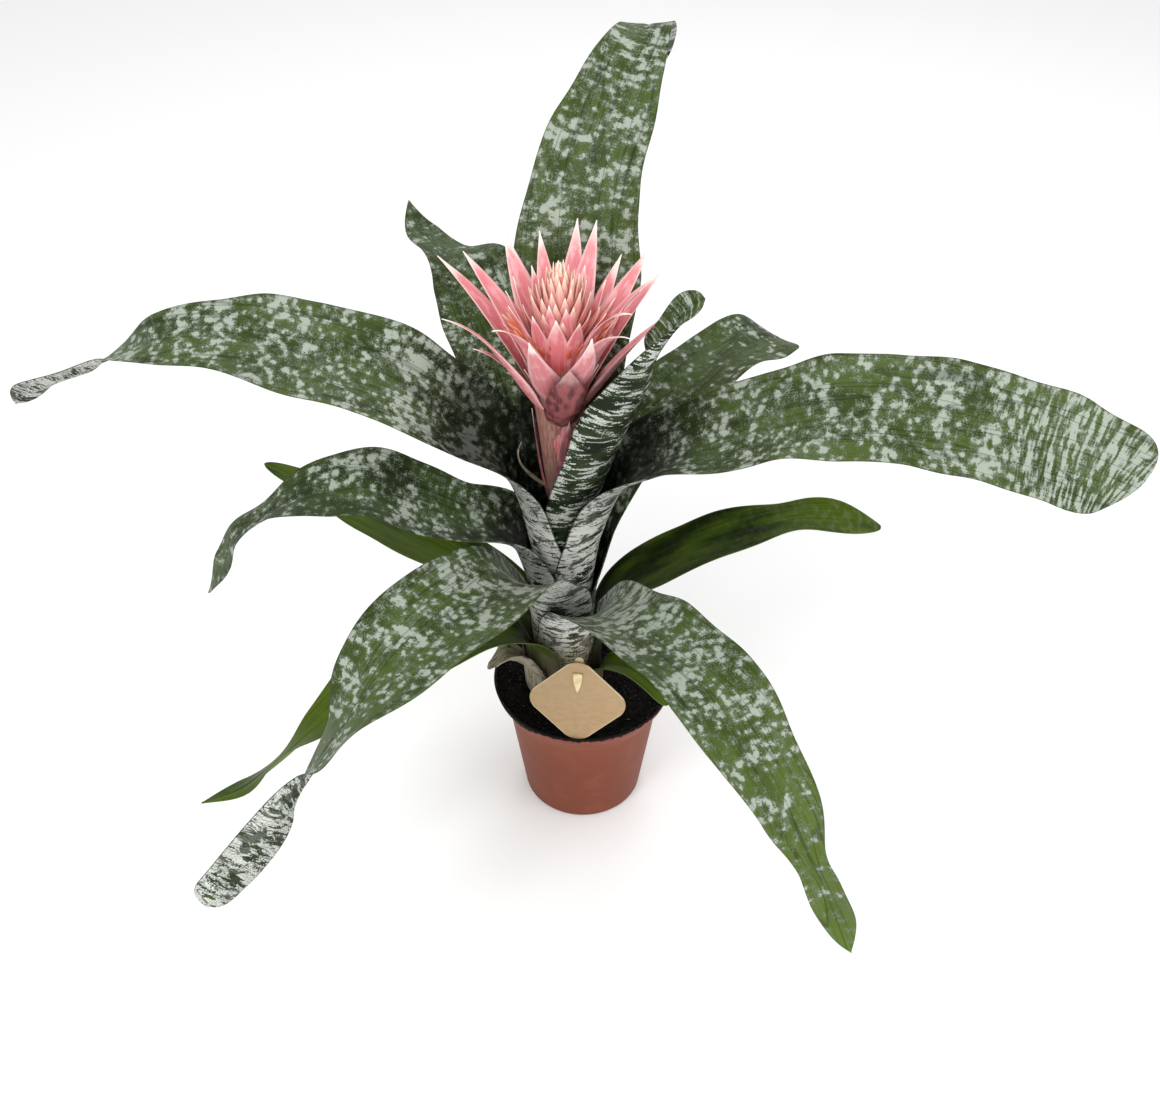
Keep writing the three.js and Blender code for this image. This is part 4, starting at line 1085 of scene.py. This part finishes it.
def banding(leaf, share):
    """How much the silver lies in thin cross-bands: right at the neck, over the middle and near the tip."""
    near, middle, far = leaf.band
    return mix(mix(near, middle, rise(share, *NEAR_BANDS_END)), far, rise(share, *FAR_BANDS_START))


def painted_tank_shade(leaf, row):
    """How much painted shade darkens a place: deep inside the tank, and as the leaf says along its blade."""
    near, middle, far = leaf.gloom
    if row.along < 0:
        return min(near + SHEATH_PAINTED_SHADE, DEEPEST_PAINTED_SHADE)
    if row.share < FAR_PAINTED_SHADE_START[0]:
        return mix(near, middle, rise(row.share, leaf.deep, leaf.deep + NEAR_PAINTED_SHADE_RUN))
    return mix(middle, far, rise(row.share, *FAR_PAINTED_SHADE_START))


def leaf_point(leaf, row, s):
    """A point of a leaf's sheet, s from -1 to 1 across it, with its waves, keel and frayed end."""
    half, cup = row.section[3], radians(max(row.section[4], FLATTEST_CUP))
    edge_seed, edge_phase = (7, 0) if s > 0 else (29, 2)
    swing = noise.noise(Vector((row.along / UNEVEN_LENGTH, edge_seed, leaf.order * 3.1)))
    angle = s * cup * row.narrow * (1 + UNEVEN_EDGE * swing * s * s * row.lag)
    across_mm = s * half * row.narrow
    swell = noise.noise(Vector((across_mm / SWELL_WIDTH, row.along / SWELL_LENGTH, leaf.order * 5.0)))
    lift = leaf.wave * abs(s) ** 3 * sin(row.along / WAVE_LENGTH + edge_phase + leaf.order)
    lift += SWELL * swell - KEEL * math.exp(-((across_mm / KEEL_WIDTH) ** 2))
    point = cupped(row.middle, row.across, row.face, half / cup, angle, lift * row.lag * row.narrow)
    skew = leaf.slant * s * rise(row.share, SKEW_FROM, 1) * row.narrow
    fray = leaf.tear * noise.noise(Vector((s * 4, row.along / TEAR_LENGTH, 3.0))) * row.lag
    return point + row.forward * (skew - fray)


def leaf_piece(leaf, upper, lower, slot):
    """One leaf, sheath and blade in one sheet with a wall."""
    rows = leaf_rows(leaf)
    add_directions(leaf, rows)
    bm = bmesh.new()
    place, tone, weight = sheet_layers(bm, "leaf")
    mark = bm.verts.layers.float_color.new("leaf_mark")
    sheath_mark = bm.verts.layers.float.new("leaf_sheath")
    for vert, s, k in sheet_points(bm, LEAF_COLUMNS, len(rows) - 1):
        row = rows[k]
        vert.co = leaf_point(leaf, row, s)
        thickness = mix(SHEATH_WALL, mix(BLADE_MID, BLADE_EDGE, s * s), row.lag)
        silver, fresh = three_part(leaf.silver, row.share), three_part(leaf.fresh, row.share)
        vert[weight][0] = thickness / BLADE_MID
        vert[place] = (s * row.section[3] * row.narrow, row.along, leaf.order * 11.0)
        # The tone carries the dust, the painted shade and the new green.
        vert[tone] = (silver, painted_tank_shade(leaf, row), fresh, 1)
        vert[mark] = (banding(leaf, row.share), abs(s), leaf.pallor, 1)
        vert[sheath_mark] = (1 - rise(vert.co.z, *DRY_HEIGHTS)) * (1 - rise(row.along, *DRY_SHEATH_END))
    finished(leaf.name + "_blade", bm, [upper, lower], leaf.name, wall=BLADE_MID)


# ==== flower
def bract_width(t, fullness):
    """Share of a bract's full width at t, from 0 at its root to 1 at its point."""
    rising = mix(BRACT_ROOT_WIDTH, 1, rise(t, 0, BRACT_FULL_WIDTH))
    falling = 1 - max((t - BRACT_NARROWS_FROM) / (1 - BRACT_NARROWS_FROM), 0) ** fullness
    return max(rising * falling, BRACT_LEAST_WIDTH)


def bract_line(out, ends, slopes, rows):
    """Points of the curve that a bract's middle follows, and its straight length."""
    root, point = (Vector((HEAD_X, 0, height)) + out * reach for reach, height in ends)
    leave, arrive = (out * cos(radians(s)) + UP * sin(radians(s)) for s in slopes)
    length = (point - root).length
    handles = root + leave * length * BRACT_ROOT_PULL, point - arrive * length * BRACT_POINT_PULL
    return interpolate_bezier(root, *handles, point, rows + 1), length


def add_bract(bm, layers, plan, seed, rows=BRACT_ROWS, columns=BRACT_COLUMNS, wall=1.0):
    """Adds one bract, a lance-shaped blade along a curve, to a bmesh."""
    bearing, root, point, half, root_slope, point_slope, cup_degrees, roll, fullness, tint = plan
    place, tone, weight = layers
    out, side = out_and_side(radians(bearing))
    line, length = bract_line(out, (root, point), (root_slope, point_slope), rows)
    cup = radians(cup_degrees)
    for vert, s, k in sheet_points(bm, columns, rows):
        t = k / rows
        forward = (line[min(k + 1, rows)] - line[max(k - 1, 0)]).normalized()
        across, face = sheet_axes(forward, side, radians(roll * t))
        width = bract_width(t, fullness)
        keel = -BRACT_KEEL * math.exp(-((s / BRACT_KEEL_WIDTH) ** 2))
        ripple = BRACT_RIPPLE * sin(t * BRACT_RIPPLE_RATE + seed) * s * s
        vert.co = cupped(line[k], across, face, half / cup, s * cup * width, (keel + ripple) * width)
        vert[place] = (s * half * width, t * length, seed * 3.7)
        vert[tone] = (t, abs(s), tint, 1)
        vert[weight][0] = mix(1, 0.5, s * s) * mix(1, 0.6, t) * wall


def flower_bracts():
    bm = bmesh.new()
    layers = sheet_layers(bm, "bract")
    large = BRACTS + WRAPPED_BRACTS
    for seed, plan in enumerate(large):
        add_bract(bm, layers, plan, seed)
    for seed, plan in enumerate(INNER_BRACTS, len(large) + 4):
        add_bract(bm, layers, plan, seed, rows=INNER_BRACT_ROWS)
    finished("flower_bracts", bm, [bract_finish()], "flower_stalk", wall=BRACT_THICKNESS)


def dead_curl(withered):
    """A dried bract that curls back on itself beside the stalk."""
    bm = bmesh.new()
    add_bract(bm, sheet_layers(bm, "leaf"), DEAD_CURL, 41, wall=0.7)
    finished("dead_bract", bm, [withered], "flower_stalk", wall=BRACT_THICKNESS)


def flower_scape():
    """The stalk, widening into the head."""
    bm = bmesh.new()
    spun(bm, [(radius, height) for height, radius, _ in STALK_ROWS], 28, step=4)
    top = STALK_ROWS[-1][0]
    for vert in bm.verts:
        vert.co.x += reading(STALK_ROWS, vert.co.z, 2)
        ridge = STALK_RIDGE * sin(STALK_RIDGES * math.atan2(vert.co.y, vert.co.x - HEAD_X))
        vert.co.y += ridge * rise(vert.co.z, top, top - 40)
    finished("flower_scape", bm, [stalk_finish()], "flower_stalk")


def flower_cone():
    """The dense cone of short upright bracts, set by the golden angle from its rim to its middle."""
    draw = random.Random(11)
    paint = cone_finish()
    bm = bmesh.new()
    layers = sheet_layers(bm, "bract")
    for k in range(CONE_BRACTS):
        q = k / (CONE_BRACTS - 1)
        root = (mix(*CONE_ROOT_REACH, q), mix(*CONE_ROOT_HEIGHT, q))
        point = (mix(*CONE_POINT_REACH, q**0.9), mix(*CONE_POINT_HEIGHT, q**0.6) + draw.uniform(-3, 3))
        half = mix(*CONE_HALF_WIDTH, q) + draw.uniform(-0.5, 0.5)
        slope, roll = mix(*CONE_POINT_SLOPE, q), draw.uniform(-CONE_TWIST, CONE_TWIST)
        shape = (CONE_ROOT_SLOPE, slope, CONE_CUP, roll, CONE_FULLNESS, q * CONE_TINT)
        plan = (k * GOLDEN_ANGLE, root, point, half, *shape)
        add_bract(bm, layers, plan, 60 + k, rows=11, columns=6, wall=0.8)
    finished("flower_cone_bracts", bm, [paint], "flower_cone", wall=BRACT_THICKNESS)
    bm = bmesh.new()
    tone = bm.verts.layers.float_color.new("bract_tone")
    spun(bm, CONE_CORE, 20, step=5)
    for vert in bm.verts:
        vert.co.x += HEAD_X
        vert[tone] = (0.2, 0, 0, 1)
    finished("flower_cone_core", bm, [paint], "flower_cone")


def flower_buds():
    """The orange buds between the cone and the bracts, in fans on a collar."""
    draw = random.Random(23)
    bm = bmesh.new()
    place = bm.verts.layers.float_vector.new("bract_place")
    tone = bm.verts.layers.float_color.new("bract_tone")
    spun(bm, BUD_COLLAR, 40, step=3)
    for vert in bm.verts:
        vert.co.x += HEAD_X
    inner, outer = BUD_COLLAR[0][0], BUD_COLLAR[1][0]
    for k in range(BUD_FANS):
        for n in range(BUDS_PER_FAN):
            fan = tau * k / BUD_FANS
            out, _ = out_and_side(fan + radians(draw.uniform(-BUD_FAN_SPREAD, BUD_FAN_SPREAD)))
            root = Vector((HEAD_X, 0, BUD_ROOT_HEIGHT)) + out * draw.uniform(inner + 1, outer)
            sideways = out.x * out.x
            leaning = draw.uniform(*BUD_LEAN) + BUD_SIDE_LEAN * sideways
            length = draw.uniform(*BUD_LENGTH) + BUD_SIDE_LENGTH * sideways
            radius = draw.uniform(*BUD_RADIUS)
            turn = UP.rotation_difference((UP + out * leaning).normalized()).to_matrix().to_4x4()
            for vert in bmesh.ops.create_uvsphere(bm, u_segments=7, v_segments=9, radius=1)["verts"]:
                t = (vert.co.z + 1) / 2
                girth = radius * mix(0.55, 1, rise(t, 0, BUD_WIDEST)) * mix(1, 0.45, rise(t, BUD_WIDEST, 1))
                vert[place] = (vert.co.x * 2, t * length, k * 9.0 + n)
                vert[tone] = (t, 0, 0, 1)
                vert.co = turn @ Vector((vert.co.x * girth, vert.co.y * girth, t * length)) + root
    finished("flower_buds", bm, [spikelet_finish()], "flower_spikelets")


# ==== pot and soil
def pot_profile():
    """The wall's outline from the rounded foot, up the outside, over the rim and down the inside."""
    foot = []
    for k in range(POT_BASE_STEPS + 1):
        angle = pi / 2 * k / POT_BASE_STEPS
        inset, height = (POT_BASE_ROUNDING * (1 - turn) for turn in (sin(angle), cos(angle)))
        foot.append((POT_BASE_RADIUS - inset, height))
    rim = [
        (POT_TOP_RADIUS, POT_HEIGHT - POT_RIM_ROUNDING),
        (POT_TOP_RADIUS - POT_RIM_ROUNDING, POT_HEIGHT),
        (POT_TOP_RADIUS - POT_WALL, POT_HEIGHT),
    ]
    inside = [(radius - POT_WALL, height) for radius, height in reversed(POT_SHOULDER)]
    return [*foot, *POT_SHOULDER, *rim, *inside, (POT_FLOOR_RADIUS, POT_FLOOR)]


def peat_share(x, y, z):
    """How much of the pot's wall is covered by peat: all of it inside, and part of the lip at the left."""
    shoulder = [(height, radius) for radius, height in POT_SHOULDER]
    wall = [(0, POT_BASE_RADIUS), *shoulder, (POT_HEIGHT, POT_TOP_RADIUS)]
    depth = (reading(wall, z, 1) - hypot(x, y)) / POT_WALL
    inside = rise(depth, 0, 1) if z > POT_FLOOR else 0
    bearing = math.degrees(math.atan2(y, x)) % 360
    left = rise(bearing, *PEATY_SIDE[:2]) * (1 - rise(bearing, *PEATY_SIDE[2:]))
    smear_start = mix(POT_HEIGHT - PEAT_SMEAR, POT_NECK[1] + 2, left)
    return max(inside, clamp((z - smear_start) / PEAT_SMEAR_FADE))


def drain_cutter():
    """The pegs that cut the pot's drain holes."""
    bm = bmesh.new()
    radius = DRAIN_HOLE_RADIUS * MM
    for k in range(DRAIN_HOLES):
        out, _ = out_and_side(tau * (k + 0.5) / DRAIN_HOLES)
        bmesh.ops.create_cone(
            bm, cap_ends=True, segments=24, radius1=radius, radius2=radius, depth=DRAIN_CUTTER_LENGTH * MM,
            matrix=Matrix.Translation(out * DRAIN_CIRCLE_RADIUS * MM),
        )
    return mesh_object("drain_cutter", bm)


def pot_piece():
    """The pot, with drain holes cut through its floor."""
    bm = bmesh.new()
    spun(bm, pot_profile(), POT_SEGMENTS, step=POT_ROW_STEP)
    peat = bm.verts.layers.float.new("pot_peat")
    for vert in bm.verts:
        vert[peat] = peat_share(*vert.co)
    pot = finished("pot_shell", bm, [pot_finish()], "pot")
    cutter = drain_cutter()
    cut = pot.modifiers.new("drain_holes", "BOOLEAN")
    cut.object = cutter
    cut.solver = "EXACT"
    baked = bpy.data.meshes.new_from_object(pot.evaluated_get(bpy.context.evaluated_depsgraph_get()))
    pot.modifiers.clear()
    pot.data = baked
    bpy.data.objects.remove(cutter)


def soil_height(x, y):
    """How far the peat's uneven surface lies above its level: lumps, and a bank along the rim."""
    lumps = sum(height * noise.noise(Vector((x, y, 0)) / size) for height, size in SOIL_LUMPS)
    edge = rise(hypot(x, y), SOIL_EDGE - SOIL_BANK_WIDTH, SOIL_EDGE)
    near_tag = 1 - rise(hypot(x - TAG_FOOT[0], y - TAG_FOOT[1]), *TAG_CLEARING)
    return lumps * (1 - 0.5 * edge) + mix(SOIL_BANK, SOIL_BANK_AT_TAG, near_tag) * edge


def add_crumb(bm, draw, least_share):
    """Adds one lump of peat, turned and squashed at random, beyond that share of the surface's area."""
    angle = draw.uniform(0, tau)
    reach = CRUMB_REACH * math.sqrt(draw.uniform(least_share, 1))
    x, y = reach * cos(angle), reach * sin(angle)
    size = draw.uniform(*CRUMB_SIZE) + CRUMB_EXTRA * draw.random() ** 6
    place = Matrix.Translation((x, y, SOIL_TOP + soil_height(x, y) + size * 0.25))
    spin = draw.uniform(0, tau)
    axis = Vector((draw.random(), draw.random(), 0.2)).normalized()
    squash = Matrix.Diagonal((*(draw.uniform(*limits) for limits in CRUMB_FLATNESS), 1))
    matrix = place @ Matrix.Rotation(spin, 4, axis) @ squash
    bmesh.ops.create_icosphere(bm, subdivisions=1, radius=size, matrix=matrix)


def soil_piece():
    """The peat: a closed plug with a lumpy top, strewn with crumbs, a third of them along the rim."""
    draw = random.Random(5)
    bm = bmesh.new()
    plug = [(POT_FLOOR_RADIUS - GAP, POT_FLOOR + GAP)]
    plug += [(radius - POT_WALL - GAP, height) for radius, height in (POT_NECK, POT_FLARE)]
    top = [(SOIL_EDGE * (1 - k / SOIL_RINGS), SOIL_TOP) for k in range(SOIL_RINGS)]
    spun(bm, [*plug, *top], SOIL_SEGMENTS)
    for vert in bm.verts:
        if vert.co.z > SOIL_TOP - 0.01:
            vert.co.z += soil_height(vert.co.x, vert.co.y)
    for k in range(CRUMBS):
        add_crumb(bm, draw, ANYWHERE if k % 3 else AT_RIM)
    finished("peat_surface", bm, [peat_finish()], "soil", smooth_faces=False)


# ==== the plant
def dress_kept_nodes():
    """Gives the CAD pieces that stay in view their finishes."""
    kept = {"stem": stem_finish(), "tag_card": card_finish(), "tag_stake": stake_finish()}
    for name, material in kept.items():
        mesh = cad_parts[name].data
        mesh.materials.clear()
        mesh.materials.append(material)


finishes = leaf_finishes()
for order, fields in enumerate(LEAVES):
    leaf = leaf_plan(order, fields)
    leaf_piece(leaf, *finishes[leaf.finish])
flower_bracts()
dead_curl(finishes["withered"][0])
flower_scape()
flower_cone()
flower_buds()
pot_piece()
soil_piece()
dress_kept_nodes()


# ==== studio
def studio_floor():
    paint = Finish("studio_floor", roughness=0.9, specular=0.1)
    paint.shader.inputs["Base Color"].default_value = FLOOR_COLOUR
    bm = bmesh.new()
    bmesh.ops.create_grid(bm, x_segments=1, y_segments=1, size=FLOOR_HALF_SIDE)
    mesh_object("studio_floor", bm, paint.material)


def studio_lights():
    for name, place, size, power in LIGHTS:
        data = bpy.data.lights.new(name, "AREA")
        data.shape = "DISK"
        data.size = size
        data.energy = power
        light = linked(name, data)
        light.location = place
        light.rotation_euler = (Vector(LIGHT_TARGET) - Vector(place)).to_track_quat("-Z", "Y").to_euler()
    world = bpy.data.worlds.new("studio")
    world.use_nodes = True
    background = world.node_tree.nodes["Background"]
    background.inputs["Color"].default_value = (1, 1, 1, 1)
    background.inputs["Strength"].default_value = WORLD_STRENGTH
    bpy.context.scene.world = world


def studio_camera():
    data = bpy.data.cameras.new("camera")
    data.sensor_width = SENSOR_WIDTH
    data.lens = SENSOR_WIDTH * FOCAL_PIXELS / IMAGE_WIDTH
    camera = linked("camera", data)
    camera.location = Vector(CAMERA_PLACE) * MM
    camera.rotation_euler = (radians(90 - CAMERA_PITCH), 0, 0)
    bpy.context.scene.camera = camera
    bpy.context.scene.view_settings.view_transform = "Standard"


studio_floor()
studio_lights()
studio_camera()
